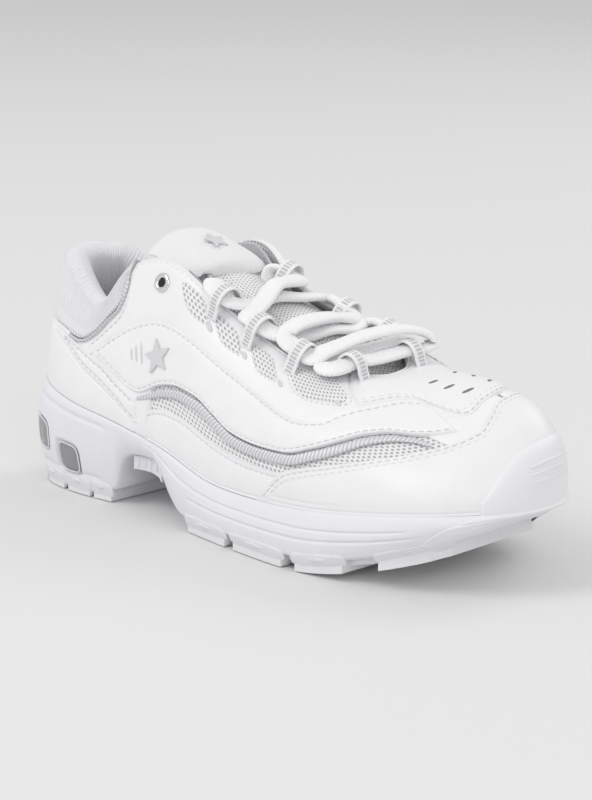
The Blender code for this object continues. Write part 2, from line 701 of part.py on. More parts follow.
def eyelets():
    """Metal rings in the top corners of the eyestays."""
    for side in ("lateral", "medial"):
        s, h = mirrored(6.0, side), 0.81
        normal = Vector(form_normal(s, h))
        bpy.ops.mesh.primitive_torus_add(major_radius=EYELET_RADIUS * MM,
                                         minor_radius=EYELET_WIRE * MM,
                                         major_segments=24, minor_segments=8,
                                         location=world(skin(s, h, LEATHER[1] + 1.25)))
        ring = bpy.context.object
        ring.name = "eyelet_%s" % side
        ring.rotation_euler = normal.to_track_quat("Z", "Y").to_euler()
        ring.data.shade_smooth()
        ring.data.materials.append(material("eyelet_metal", METAL_LOOK))
        for collection in list(ring.users_collection):
            collection.objects.unlink(ring)
        PARTS.objects.link(ring)


# Webbing loops: name, outer foot, inner foot, and the way the lace runs through the loop.
ALONG_EDGE = (0.93, 0.0, -0.36)
ACROSS_SHOE = (0.3, 0.95, 0.1)
LOOPS = (("1_lateral", (118.5, -28.8, 94.5), (120.8, -17.2, 100.0), ALONG_EDGE),
         ("2_lateral", (138.3, -28.2, 85.0), (140.0, -16.0, 89.3), ALONG_EDGE),
         ("3_lateral", (161.5, -26.7, 76.8), (161.0, -14.2, 79.7), ALONG_EDGE),
         ("4_lateral", (188.8, -13.2, 74.6), (176.6, -13.2, 75.6), ACROSS_SHOE),
         ("1_medial", (116.5, 27.0, 103.5), (117.5, 13.2, 99.6), ALONG_EDGE),
         ("2_medial", (149.0, 28.3, 90.5), (149.5, 14.0, 87.6), ALONG_EDGE),
         ("3_medial", (172.5, 28.3, 85.0), (173.0, 14.0, 81.6), ALONG_EDGE),
         ("4_medial", (197.5, 13.5, 77.8), (184.5, 14.5, 78.0), ACROSS_SHOE))
LOOP_RISE = 6.8
LOOP_FOOT_RISE = 1.0
LOOP_WIDTH = 6.0
LOOP_THICKNESS = 1.1


def webbing_loops():
    """Bridges of webbing that the lace passes under, along the edges of the throat."""
    for name, outer, inner, lace_way in LOOPS:
        outer, inner = np.array(outer), np.array(inner)
        run = (inner - outer) / np.linalg.norm(inner - outer)
        width = np.array(lace_way) - run * run.dot(lace_way)
        width /= np.linalg.norm(width)
        normal = np.cross(run, width)
        normal *= math.copysign(1.0, normal[2])
        rings = []
        for t in np.linspace(-1, 1, 11):
            rise = LOOP_RISE * (1 - t * t) ** 0.6 + LOOP_FOOT_RISE
            at = outer + (inner - outer) * (t + 1) / 2 + normal * rise
            half = width * LOOP_WIDTH / 2
            rings.append([at + half, at - half, at - half + normal * LOOP_THICKNESS,
                          at + half + normal * LOOP_THICKNESS])
        loft("lace_loop_%s" % name, rings, "webbing", LACE_LOOK)


# Route of the lace: from its end inside the outer side of the shoe up to the first outer loop,
# criss-cross down to the straight bar between the two front loops, and back up to its end
# inside the inner side.
LACE_ROUTE = (
    (100, -20, 72), (103, -18.3, 80), (106, -16, 88), (107.8, -13.8, 97), (108.3, -15.2, 101.6),
    (110.5, -20.5, 104.3), (114.5, -24, 102.5), (120, -24.5, 99.8), (123.8, -23.5, 98),
    (125.3, -18.5, 96.5), (126.5, -11, 96), (129, -2, 98.4), (133.5, 9, 97.3), (137.5, 16.5, 97),
    (141, 20, 96.5), (145, 20.1, 96), (149.2, 19.6, 94.3), (154.5, 19.4, 92),
    (157.8, 16.8, 90.8), (157.8, 11, 91.3), (156, 3, 92.5), (154, -8, 92), (152.7, -16, 90.5),
    (152.2, -20.5, 87.5), (155, -22, 84.8), (162.2, -21.3, 81.9), (167.5, -20.6, 80),
    (170, -17, 82), (172.3, -10, 84), (178, 0, 88), (185, 11, 90.2), (191, 19, 89.5),
    (194.7, 23.7, 86.6), (195, 23.5, 83.3), (193, 19.5, 82), (191, 14, 82),
    (188.5, 7, 80.8), (185.8, -1, 79.5), (183.3, -9, 79.2), (182.3, -13.2, 79), (181, -18.3, 77.6),
    (178, -22, 76.8), (174, -21, 77), (172.5, -15, 77.2), (173.5, -6, 78.5), (176.5, 3, 81),
    (180.5, 12, 83), (182, 17.5, 84.5), (179.5, 21, 86.4), (172.8, 20.5, 88),
    (167, 20.3, 89.6), (163, 18, 88.7), (161.5, 12, 87), (158, 2, 87.6), (153, -8, 85.6),
    (149, -15.5, 85.8), (145.5, -21.5, 87.5), (139.5, -23.8, 90.8), (134.5, -24, 92.8),
    (132, -21.8, 93), (132, -17, 95), (131.8, -11, 99), (130.5, -3, 103.8),
    (128.5, 8, 103.6), (126.5, 15, 103), (123.5, 19.3, 103), (117, 19, 104.8),
    (113, 17.2, 106), (110.7, 15.8, 104.3), (109.7, 15.3, 99), (108, 16.3, 92),
    (105, 18, 83), (102, 19.5, 74),
)
LACE_STEP = 8.6
AGLET_LENGTH = 18.0


def lace():
    """The lace and the hard tip on each of its ends, which hang inside the shoe."""
    points = even_points(LACE_ROUTE, LACE_STEP)
    tube("lace", points, LACE_RADIUS, "lace", LACE_LOOK)
    for side, end, before in (("lateral", points[0], points[1]),
                              ("medial", points[-1], points[-2])):
        way = (end - before) / np.linalg.norm(end - before)
        tube("aglet_%s" % side, [end + way * GAP, end + way * (GAP + AGLET_LENGTH)],
             AGLET_RADIUS, "aglet", RUBBER_LOOK)


def build():
    midsole()
    outsole("outsole_heel", HEEL_LUGS)
    outsole("outsole_forefoot", FOREFOOT_LUGS)
    arch_shank()
    toe_bumper()
    heel_windows()
    insole_board()
    sockliner()
    inner_layers()
    leather_panels()
    collar()
    pipings()
    tongue_lower()
    tongue_pad()
    emblems()
    eyelets()
    webbing_loops()
    lace()


for old in list(bpy.data.objects):
    bpy.data.objects.remove(old, do_unlink=True)
PARTS = new_collection("cheer_shoe")
build()
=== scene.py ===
import math

import bmesh
import bpy
import numpy as np
from mathutils import Matrix, Vector

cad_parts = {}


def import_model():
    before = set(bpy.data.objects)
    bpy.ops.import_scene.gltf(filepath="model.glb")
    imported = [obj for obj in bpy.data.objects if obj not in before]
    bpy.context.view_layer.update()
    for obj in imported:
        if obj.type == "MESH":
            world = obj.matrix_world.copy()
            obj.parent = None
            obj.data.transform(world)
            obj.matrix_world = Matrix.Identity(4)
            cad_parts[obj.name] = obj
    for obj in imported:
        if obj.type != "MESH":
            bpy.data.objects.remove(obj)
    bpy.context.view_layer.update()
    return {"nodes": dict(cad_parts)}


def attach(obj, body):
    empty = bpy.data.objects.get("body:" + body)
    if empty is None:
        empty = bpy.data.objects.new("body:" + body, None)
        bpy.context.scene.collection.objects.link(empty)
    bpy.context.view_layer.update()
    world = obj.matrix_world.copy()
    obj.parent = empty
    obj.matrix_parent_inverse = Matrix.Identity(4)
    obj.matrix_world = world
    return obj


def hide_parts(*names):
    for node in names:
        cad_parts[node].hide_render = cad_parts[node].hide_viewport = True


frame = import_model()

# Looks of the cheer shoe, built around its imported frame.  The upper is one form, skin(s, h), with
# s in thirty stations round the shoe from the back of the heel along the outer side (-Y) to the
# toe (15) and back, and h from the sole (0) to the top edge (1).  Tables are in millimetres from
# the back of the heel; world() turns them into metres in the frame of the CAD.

MM = 0.001
CENTRE = np.array((138.5, -2.8, 0.0))
TURN = 30
UP = np.array((0.0, 0.0, 1.0))
MESH_LAYER = -0.8         # outer face of each layer of the upper, against the form
LEATHER_LAYER = 1.3
STRAP_LAYER = 2.2
BUMPER_LAYER = 3.2

FORM = (
    (2, 0, 50, 7, 0, 107, 3, 40, 2, 40),
    (6, -17, 49, 11, -14, 106, 3, 40, 2, 40),
    (19, -29, 46, 23, -23, 101, 4, 40, 3, 38),
    (41, -35, 42, 43, -27, 88, 5, 34, 4, 32),
    (61, -36, 39, 56, -26, 99, 5, 40, 6, 38),
    (83, -37, 35, 67, -23, 110, 6, 50, 10, 46),
    (105, -40, 31, 83, -20, 113, 6, 56, 16, 48),
    (127, -43, 25, 101, -21, 107, 7, 58, 24, 46),
    (149, -46, 23, 122, -20, 95, 7, 56, 32, 38),
    (174, -50, 24, 141, -19, 85, 7, 52, 38, 28),
    (199, -52, 26, 156, -18, 78, 7, 48, 44, 20),
    (223, -51, 29, 169, -15, 74, 7, 48, 50, 14),
    (245, -47, 32, 179, -10, 73, 7, 50, 58, 10),
    (263, -37, 34, 186, -4, 73, 8, 66, 72, 8),
    (274, -22, 35, 189, 1, 73, 9, 112, 88, 5),
    (278, -3, 36, 190, 5, 74, 10, 150, 100, 2),
    (271, 13, 36, 189, 9, 75, 8, 130, 88, 5),
    (260, 25, 34, 186, 14, 77, 6, 90, 68, 8),
    (245, 34, 32, 180, 18, 81, 5, 60, 56, 10),
    (227, 43, 30, 170, 20, 85, 6, 50, 48, 14),
    (205, 46, 27, 156, 20, 90, 7, 48, 42, 20),
    (179, 45, 25, 140, 20, 95, 7, 52, 36, 28),
    (152, 41, 24, 123, 21, 101, 7, 56, 30, 38),
    (129, 37, 26, 109, 25, 109, 7, 58, 20, 46),
    (106, 35, 32, 94, 29, 117, 6, 56, 10, 48),
    (83, 34, 36, 77, 27, 114, 6, 50, 8, 46),
    (61, 34, 40, 59, 27, 101, 5, 40, 6, 38),
    (41, 33, 43, 43, 27, 90, 5, 34, 4, 32),
    (19, 27, 47, 23, 23, 103, 4, 40, 3, 38),
    (6, 15, 49, 11, 14, 106, 3, 40, 2, 40),
)

# Seam lines of the upper on the outer side, as (s, h); the inner side is the same, mirrored.
COLLAR_LINE = ((-1, .475), (0, .47), (1, .475), (1.8, .50), (2.4, .55), (2.8, .58), (3.3, .66),
               (3.7, .69), (4.3, .71), (4.6, .77), (4.8, .88))
STRAP_BOTTOM = ((0, .482), (1.2, .482), (1.8, .472), (2.6, .445), (3.2, .36), (3.8, .265),
                (4.4, .165), (5, .06))
STRAP_TOP = ((1.9, .495), (2.8, .545), (3.7, .425), (4.4, .30), (5.0, .225))
QUARTER_BOTTOM = ((3.35, .50), (3.8, .43), (4.4, .33), (5.0, .275), (5.8, .345), (6.6, .395),
                  (7.1, .405), (7.6, .375), (8.1, .335), (8.7, .325), (9.5, .335), (10.2, .385),
                  (11, .445), (11.8, .495), (12.3, .505), (12.9, .47), (13.7, .42))
QUARTER_TOP = ((3.35, .515), (4.2, .55), (5.1, .59), (5.7, .61), (6.3, .62), (7, .63),
               (8.2, .61), (8.9, .58), (9.5, .54), (10, .52), (10.8, .545), (11.4, .60),
               (12.3, .65), (13.1, .67), (13.5, .64), (13.7, .50))
EYESTAY_BOTTOM = ((3.1, .525), (3.5, .545), (4.2, .58), (5.1, .62), (5.7, .64), (6.3, .65),
                  (7, .66), (8.2, .64), (8.9, .61), (9.5, .57), (10, .55), (10.8, .575),
                  (11.4, .63), (12, .665))
EYESTAY_TOP = ((3.1, .58), (3.3, .61), (3.7, .64), (4.3, .66), (4.6, .70),
               (4.8, .77), (5.0, .93), (5.3, .96), (12, .965))
SADDLE_BOTTOM = ((12.05, .675), (13.1, .705), (13.55, .68), (13.85, .53), (14.1, .47),
                 (14.6, .50), (15, .51))
TOE_CAP_TOP = ((9.05, .16), (9.5, .245), (10.3, .30), (11.1, .335), (12, .365), (13, .385),
               (13.9, .38), (14.3, .42), (14.8, .47), (15.2, .47))
SIDE_TOP = ((5.2, .06), (5.35, .20), (6.0, .245), (6.7, .26), (7.5, .24), (8.2, .22), (9, .21))
BUMPER_TOP = ((12.3, .0), (13, .01), (13.3, .05), (13.6, .11), (13.9, .16), (14.4, .20),
              (15, .20))
WAVE_LINE = ((5.0, .24), (5.4, .275), (5.8, .31), (6.6, .36), (7.1, .37), (7.6, .34),
             (8.1, .30), (8.7, .29), (9.5, .30), (10.2, .35), (11, .41), (11.8, .46),
             (12.3, .47), (12.7, .45), (12.95, .41))

# Side wall of the sole, by station: bulge at mid height, reach at the bottom edge.
WALL = ((0, 3.6, 3.0), (1, 3.6, 2.5), (2, 3.2, 1.0), (3, 2.2, -1.0), (4, 1.6, -2.0),
        (5, 1.2, -1.0), (6, 1.4, 1.0), (7, 2.0, 3.5), (8, 2.4, 5.0), (9, 2.4, 5.0),
        (10, 2.4, 3.5), (11, 2.6, 1.5), (12, 3.0, -1.5), (13, 4.0, -4.0), (14, 4.0, -6.0),
        (15, 4.0, -6.0))
LIP_OUT = 2.6             # reach of the sole's top edge beyond the upper
LIP_RISE = 0.3
DECK_DROP = 2.6

# Underside of the midsole by distance from the heel, with the arch cut out under the waist.
UNDERSIDE = ((-10, 5.5), (62, 5.5), (66, 7.5), (70, 20.5), (76, 24.5), (92, 25.5), (98, 21),
             (106, 11.5), (114, 6), (120, 5.5), (190, 5.5), (204, 7), (225, 11.5), (245, 17.5),
             (262, 24), (274, 30), (290, 34))
HEEL_LUGS = ((0, 1.5), (1.65, 2.45), (2.6, 3.3), (3.45, 4.0))
FOREFOOT_LUGS = ((6.65, 7.9), (8.15, 9.35), (9.65, 10.6), (11.3, 12.7))
HEEL_WINDOWS = ((1.45, 2.15, 0.28, 0.60), (2.5, 3.1, 0.12, 0.46))


TONGUE = ((12.8, .88, 10.0, -8.4), (12.2, .88, 9.8, -4.2), (11.5, .89, 8.8, 1.0),
          (10.6, .90, 8, 3.0), (9.8, .90, 8, 4.0), (9, .90, 8, 4.5), (8.2, .93, 8.5, 4.0),
          (7.7, .96, 13.5, 3.0), (7.3, .97, 15.5, 2.0))

# Padded top of the tongue: x, half width, height of the middle, height of the edge, thickness
# in the middle and at the edge.
TONGUE_PAD = ((103.7, 10.0, 107.5, 104.8, 4.0, 2.4), (102.4, 15.0, 110.0, 107.4, 6.5, 2.6),
              (99.0, 17.0, 112.6, 109.6, 9.0, 3.0), (93.0, 17.5, 115.6, 111.8, 11.0, 3.4),
              (86.0, 17.0, 118.6, 114.2, 11.5, 3.8), (79.0, 16.0, 121.2, 117.0, 10.5, 4.0),
              (74.0, 14.0, 121.8, 118.2, 8.0, 4.0), (71.0, 11.0, 119.8, 117.4, 3.5, 2.6))

ALONG_EDGE = (0.93, 0.0, -0.36)
ACROSS_SHOE = (0.3, 0.95, 0.1)
LOOPS = (("1_lateral", (118.5, -28.8, 94.5), (120.8, -17.2, 100.0), ALONG_EDGE),
         ("2_lateral", (138.3, -28.2, 85.0), (140.0, -16.0, 89.3), ALONG_EDGE),
         ("3_lateral", (161.5, -26.7, 76.8), (161.0, -14.2, 79.7), ALONG_EDGE),
         ("4_lateral", (188.8, -13.2, 74.6), (176.6, -13.2, 75.6), ACROSS_SHOE),
         ("1_medial", (116.5, 27.0, 103.5), (117.5, 13.2, 99.6), ALONG_EDGE),
         ("2_medial", (149.0, 28.3, 90.5), (149.5, 14.0, 87.6), ALONG_EDGE),
         ("3_medial", (172.5, 28.3, 85.0), (173.0, 14.0, 81.6), ALONG_EDGE),
         ("4_medial", (197.5, 13.5, 77.8), (184.5, 14.5, 78.0), ACROSS_SHOE))
LOOP_RISE = 6.8
LOOP_FOOT_RISE = 1.0

LACE_ROUTE = (
    (100, -20, 72), (103, -18.3, 80), (106, -16, 88), (107.8, -13.8, 97), (108.3, -15.2, 101.6),
    (110.5, -20.5, 104.3), (114.5, -24, 102.5), (120, -24.5, 99.8), (123.8, -23.5, 98),
    (125.3, -18.5, 96.5), (126.5, -11, 96), (129, -2, 98.4), (133.5, 9, 97.3), (137.5, 16.5, 97),
    (141, 20, 96.5), (145, 20.1, 96), (149.2, 19.6, 94.3), (154.5, 19.4, 92),
    (157.8, 16.8, 90.8), (157.8, 11, 91.3), (156, 3, 92.5), (154, -8, 92), (152.7, -16, 90.5),
    (152.2, -20.5, 87.5), (155, -22, 84.8), (162.2, -21.3, 81.9), (167.5, -20.6, 80),
    (170, -17, 82), (172.3, -10, 84), (178, 0, 88), (185, 11, 90.2), (191, 19, 89.5),
    (194.7, 23.7, 86.6), (195, 23.5, 83.3), (193, 19.5, 82), (191, 14, 82),
    (188.5, 7, 80.8), (185.8, -1, 79.5), (183.3, -9, 79.2), (182.3, -13.2, 79), (181, -18.3, 77.6),
    (178, -22, 76.8), (174, -21, 77), (172.5, -15, 77.2), (173.5, -6, 78.5), (176.5, 3, 81),
    (180.5, 12, 83), (182, 17.5, 84.5), (179.5, 21, 86.4), (172.8, 20.5, 88),
    (167, 20.3, 89.6), (163, 18, 88.7), (161.5, 12, 87), (158, 2, 87.6), (153, -8, 85.6),
    (149, -15.5, 85.8), (145.5, -21.5, 87.5), (139.5, -23.8, 90.8), (134.5, -24, 92.8),
    (132, -21.8, 93), (132, -17, 95), (131.8, -11, 99), (130.5, -3, 103.8),
    (128.5, 8, 103.6), (126.5, 15, 103), (123.5, 19.3, 103), (117, 19, 104.8),
    (113, 17.2, 106), (110.7, 15.8, 104.3), (109.7, 15.3, 99), (108, 16.3, 92),
    (105, 18, 83), (102, 19.5, 74),
)


# ---------------------------------------------------------------- the form

def hermite(a, b, da, db, t):
    """Cubic from a to b with end slopes da and db."""
    return ((2 * t**3 - 3 * t**2 + 1) * a + (t**3 - 2 * t**2 + t) * da
            + (3 * t**2 - 2 * t**3) * b + (t**3 - t**2) * db)


def smooth_line(points):
    """A smooth function of one variable through the points, which never overshoots them."""
    xs, ys = np.array(points, float).T
    steps = np.diff(ys) / np.diff(xs)
    slopes = np.concatenate([[steps[0]], np.zeros(len(xs) - 2), [steps[-1]]])
    for k in range(1, len(xs) - 1):
        if steps[k - 1] * steps[k] > 0:
            slopes[k] = 2 * steps[k - 1] * steps[k] / (steps[k - 1] + steps[k])

    def value(x):
        x = np.clip(x, xs[0], xs[-1])
        i = np.minimum(np.searchsorted(xs, x, side="right") - 1, len(xs) - 2)
        width = xs[i + 1] - xs[i]
        return hermite(ys[i], ys[i + 1], slopes[i] * width, slopes[i + 1] * width,
                       (x - xs[i]) / width)
    return value


def closed_slopes(rows):
    """Slopes of the smooth closed curve through the rows."""
    n = len(rows)
    system = 4 * np.eye(n) + np.roll(np.eye(n), 1, 0) + np.roll(np.eye(n), -1, 0)
    return np.linalg.solve(system, 3 * (np.roll(rows, -1, 0) - np.roll(rows, 1, 0)))


ROWS = np.array(FORM, float)
SLOPES = closed_slopes(ROWS)


def unit(v):
    return v / np.linalg.norm(v, axis=-1, keepdims=True)


def station(s):
    """Values of the form table at s, and the outward direction of the foot of the form."""
    s = np.asarray(s, float) % TURN
    i = np.minimum(s.astype(int), TURN - 1)
    j = (i + 1) % TURN
    t = (s - i)[..., None]
    row = hermite(ROWS[i], ROWS[j], SLOPES[i], SLOPES[j], t)
    slope = ((6 * t * t - 6 * t) * (ROWS[i] - ROWS[j]) + (3 * t * t - 4 * t + 1) * SLOPES[i]
             + (3 * t * t - 2 * t) * SLOPES[j])
    out = np.stack([slope[..., 1], -slope[..., 0], 0 * slope[..., 0]], -1)
    return row, unit(out)


def on_form(s, h):
    s, h = np.broadcast_arrays(np.asarray(s, float), np.asarray(h, float))
    row, out = station(s)
    leave = out * row[..., 6:7] + UP * row[..., 7:8]
    arrive = UP * row[..., 9:10] - out * row[..., 8:9]
    return hermite(row[..., 0:3], row[..., 3:6], leave, arrive, h[..., None])


def form_normal(s, h):
    step = 0.002
    round_it = on_form(s + step, h) - on_form(s - step, h)
    up_it = on_form(s, h + step) - on_form(s, h - step)
    return unit(np.cross(round_it, up_it))


def skin(s, h, offset=0.0):
    """Points at a distance outwards from the form."""
    s, h, offset = np.broadcast_arrays(*(np.asarray(v, float) for v in (s, h, offset)))
    return on_form(s, h) + form_normal(s, h) * offset[..., None]


def fold(s):
    """Station on the outer side that matches s by distance round the shoe."""
    s = np.asarray(s, float) % TURN
    return np.minimum(s, TURN - s)


def mirrored(s, side):
    return s if side == "lateral" else TURN - s


def world(points):
    return (np.asarray(points, float) - CENTRE) * MM


def line_of(table):
    """A seam line as a function of s on both sides."""
    value = smooth_line(table)
    return lambda s: value(fold(s))


def level(height):
    return lambda s: height + 0.0 * np.asarray(s, float)


BULGE = smooth_line([(s, bulge) for s, bulge, _ in WALL])
REACH = smooth_line([(s, reach) for s, _, reach in WALL])
UNDER = smooth_line(UNDERSIDE)


def wall(s, q, offset=0.0):
    """Points on the sole's side wall, from its bottom edge (q 0) to its lip (q 1)."""
    s, q, offset = np.broadcast_arrays(*(np.asarray(v, float) for v in (s, q, offset)))
    row, out = station(s)
    side = fold(s)
    reach = (1 - q) * REACH(side) + q * LIP_OUT + 4 * q * (1 - q) * BULGE(side) + offset
    point = row[..., 0:3] + out * reach[..., None]
    low = UNDER(point[..., 0])
    point[..., 2] = low + q * (row[..., 2] + LIP_RISE - low)
    return point


def even_points(points, spacing):
    """Points at an even spacing along a smooth curve through the given points."""
    given = np.array(points, float)
    slopes = np.gradient(given, axis=0)
    fine = []
    for i in range(len(given) - 1):
        for t in np.linspace(0, 1, 24, endpoint=False):
            fine.append(hermite(given[i], given[i + 1], slopes[i], slopes[i + 1], t))
    fine = np.array(fine + [given[-1]])
    walked = lengths(fine)
    wanted = np.linspace(0, walked[-1], max(2, round(walked[-1] / spacing) + 1))
    return np.stack([np.interp(wanted, walked, fine[:, k]) for k in range(3)], axis=1)


def lengths(points):
    """Distance walked along the points, starting at 0."""
    steps = np.linalg.norm(np.diff(points, axis=0), axis=1)
    return np.concatenate([[0], np.cumsum(steps)])


# ---------------------------------------------------------------- materials

class Look:
    """A node-based Principled material, with short ways to add nodes."""

    def __init__(self, name, color, rough, metallic=0.0, sheen=0.0, coat=0.0, specular=0.5):
        self.mat = bpy.data.materials.new(name)
        self.mat.use_nodes = True
        self.tree = self.mat.node_tree
        self.bsdf = self.tree.nodes["Principled BSDF"]
        self.color = color
        sockets = {"Base Color": (*color, 1.0), "Roughness": rough, "Metallic": metallic,
                   "Sheen Weight": sheen, "Coat Weight": coat, "Specular IOR Level": specular}
        for socket, value in sockets.items():
            self.bsdf.inputs[socket].default_value = value
        self.height = None

    def node(self, kind, inputs=(), **settings):
        made = self.tree.nodes.new("ShaderNode" + kind)
        for key, value in settings.items():
            setattr(made, key, value)
        for key, value in dict(inputs).items():
            self.put(made.inputs[key], value)
        return made

    def put(self, socket, value):
        if isinstance(value, bpy.types.NodeSocket):
            self.tree.links.new(value, socket)
        else:
            socket.default_value = value

    def math(self, operation, a, b=0.0, c=0.0):
        made = self.node("Math", operation=operation)
        for socket, value in zip(made.inputs, (a, b, c)):
            self.put(socket, value)
        return made.outputs[0]

    def uv(self):
        """The two surface coordinates of the piece, in millimetres."""
        split = self.node("SeparateXYZ", {0: self.node("UVMap", uv_map="mm").outputs[0]})
        return split.outputs[0], split.outputs[1]

    def noise(self, size, detail=2.0, kind="Noise"):
        """Noise with features of a size in millimetres."""
        place = self.node("TexCoord").outputs["Object"]
        made = self.node("Tex" + kind, {"Vector": place, "Scale": 1 / (size * MM)})
        if kind == "Noise":
            made.inputs["Detail"].default_value = detail
        return made.outputs[0]

    def scale(self, value, low, high):
        """Stretches 0..1 to low..high."""
        return self.math("MULTIPLY_ADD", value, high - low, low)

    def step(self, value, low, high):
        made = self.node("MapRange", {"Value": value, "From Min": low, "From Max": high},
                         interpolation_type="SMOOTHSTEP")
        return made.outputs[0]

    def mix(self, factor, a, b):
        made = self.node("Mix", data_type="RGBA")
        self.put(made.inputs[0], factor)
        self.put(made.inputs[6], (*a, 1.0) if isinstance(a, tuple) else a)
        self.put(made.inputs[7], (*b, 1.0) if isinstance(b, tuple) else b)
        return made.outputs[2]

    def paint(self, factor, a, b):
        """Base colour from a where the factor is 0 to b where it is 1."""
        mixed = self.mix(factor, a, b)
        self.put(self.bsdf.inputs["Base Color"], mixed)
        return mixed

    def rough(self, factor, low, high):
        self.put(self.bsdf.inputs["Roughness"], self.scale(factor, low, high))

    def bump(self, height, depth, strength=1.0):
        """Adds a bump of a depth in millimetres on top of any earlier one."""
        made = self.node("Bump", {"Height": height, "Distance": depth * MM,
                                  "Strength": strength})
        if self.height is not None:
            self.put(made.inputs["Normal"], self.height)
        self.height = made.outputs[0]
        self.put(self.bsdf.inputs["Normal"], self.height)


def tint(color, amount):
    return tuple(c * amount for c in color)


def leather_look(name, color=(0.86, 0.86, 0.87)):
    look = Look(name, color, 0.42, coat=0.04)
    cloud = look.noise(9.0, 3.0)
    look.paint(cloud, tint(color, 0.97), tint(color, 1.02))
    look.rough(cloud, 0.36, 0.5)
    look.bump(look.noise(0.9, kind="Voronoi"), 0.05, 0.5)
    look.bump(look.noise(3.0, 4.0), 0.12, 0.4)
    return look.mat


def plain_look(name, color, rough, grain=0.6, depth=0.05, **more):
    """Moulded plastic, rubber or foam with a fine grain and a cloudy tone."""
    look = Look(name, color, rough, **more)
    cloud = look.noise(14.0, 3.0)
    look.paint(cloud, tint(color, 0.965), tint(color, 1.02))
    look.rough(cloud, rough - 0.05, rough + 0.06)
    look.bump(look.noise(grain, 3.0), depth, 0.6)
    return look.mat


def hexagons(look, pitch):
    """Distance, in pitches, from the nearest point of a hexagonal pattern."""
    u, v = look.uv()
    tall = pitch * math.sqrt(3)
    near = []
    for shift in (0.0, 0.5):
        parts = []
        for value, size, stretch in ((u, pitch, 1.0), (v, tall, math.sqrt(3))):
            cell = look.math("FRACT", look.math("MULTIPLY_ADD", value, 1 / size, shift))
            side = look.math("MULTIPLY", look.math("SUBTRACT", cell, 0.5), stretch)
            parts.append(look.math("MULTIPLY", side, side))
        near.append(look.math("SQRT", look.math("ADD", *parts)))
    return look.math("MINIMUM", *near)


def mesh_look(name, yarn=(0.86, 0.86, 0.87), hole=(0.47, 0.47, 0.48), pitch=2.3):
    """Knitted sandwich mesh with rows of open holes, painted grey inside as shade."""
    look = Look(name, yarn, 0.8, sheen=0.25)
    distance = hexagons(look, pitch)
    rim = look.step(distance, 0.20, 0.31)
    cloud = look.noise(0.35, 2.0)
    thread = look.mix(cloud, tint(yarn, 0.92), tint(yarn, 1.05))
    # The holes are painted mid grey: painted shade inside the open holes.
    look.paint(rim, hole, thread)
    look.bump(rim, 0.35)
    look.bump(cloud, 0.1, 0.5)
    return look.mat


def weave_look(name, color, pitch, depth):
    """Plain woven or knitted textile."""
    look = Look(name, color, 0.85, sheen=0.3)
    u, v = look.uv()
    warp = look.math("SINE", look.math("MULTIPLY", u, 2 * math.pi / pitch))
    weft = look.math("SINE", look.math("MULTIPLY", v, 2 * math.pi / pitch))
    checks = look.math("MULTIPLY_ADD", look.math("MULTIPLY", warp, weft), 0.5, 0.5)
    # Colour follows the weave, darker in its low yarns: painted shade.
    look.paint(checks, tint(color, 0.88), tint(color, 1.05))
    look.bump(checks, depth)
    look.bump(look.noise(0.3), 0.06, 0.6)
    return look.mat


def lace_look():
    """Flat padded lace: fine ribs that meet along the middle."""
    color = (0.95, 0.95, 0.96)
    look = Look("lace_weave", color, 0.75, sheen=0.3)
    u, v = look.uv()
    slant = look.math("MULTIPLY_ADD", look.math("ABSOLUTE", v), 0.7, u)
    rib = look.math("MULTIPLY_ADD", look.math("SINE", look.math("MULTIPLY", slant, 6.6)), 0.5, 0.5)
    # Colour follows the ribs, darker in their hollows: painted shade.
    look.paint(rib, tint(color, 0.93), tint(color, 1.02))
    look.bump(rib, 0.14)
    look.bump(look.noise(0.25), 0.05, 0.6)
    return look.mat


def webbing_look():
    """White webbing with a ladder of dark bars down its middle."""
    white = (0.88, 0.88, 0.89)
    look = Look("webbing_ladder", white, 0.7, sheen=0.2)
    u, v = look.uv()
    beat = look.math("FRACT", look.math("MULTIPLY", u, 0.62))
    bar = look.math("MULTIPLY", look.step(beat, 0.30, 0.36), look.step(beat, 0.98, 0.92))
    inside = look.step(look.math("ABSOLUTE", v), 1.75, 1.45)
    ladder = look.math("MULTIPLY", bar, inside)
    look.paint(ladder, white, (0.58, 0.58, 0.60))
    rib = look.math("SINE", look.math("MULTIPLY", u, 12.0))
    look.bump(look.math("MULTIPLY_ADD", rib, 0.5, 0.5), 0.08)
    look.bump(ladder, -0.1)
    return look.mat


def cord_look(name, color, metallic):
    """Twisted silver cord."""
    look = Look(name, color, 0.42, metallic=metallic)
    u, v = look.uv()
    twist = look.math("SINE", look.math("MULTIPLY_ADD", v, 1.0, look.math("MULTIPLY", u, 3.3)))
    strand = look.math("MULTIPLY_ADD", twist, 0.5, 0.5)
    # Colour follows the twist, darker in the grooves between the strands: painted shade.
    look.paint(strand, tint(color, 0.76), tint(color, 1.1))
    look.bump(strand, 0.25)
    return look.mat


def tread_look(name, color):
    """Outsole rubber with a fine moulded texture."""
    look = Look(name, color, 0.55)
    cloud = look.noise(6.0, 3.0)
    look.paint(cloud, tint(color, 0.94), tint(color, 1.02))
    look.bump(look.noise(1.6, kind="Voronoi"), 0.12, 0.5)
    look.bump(look.noise(0.4), 0.04, 0.6)
    return look.mat


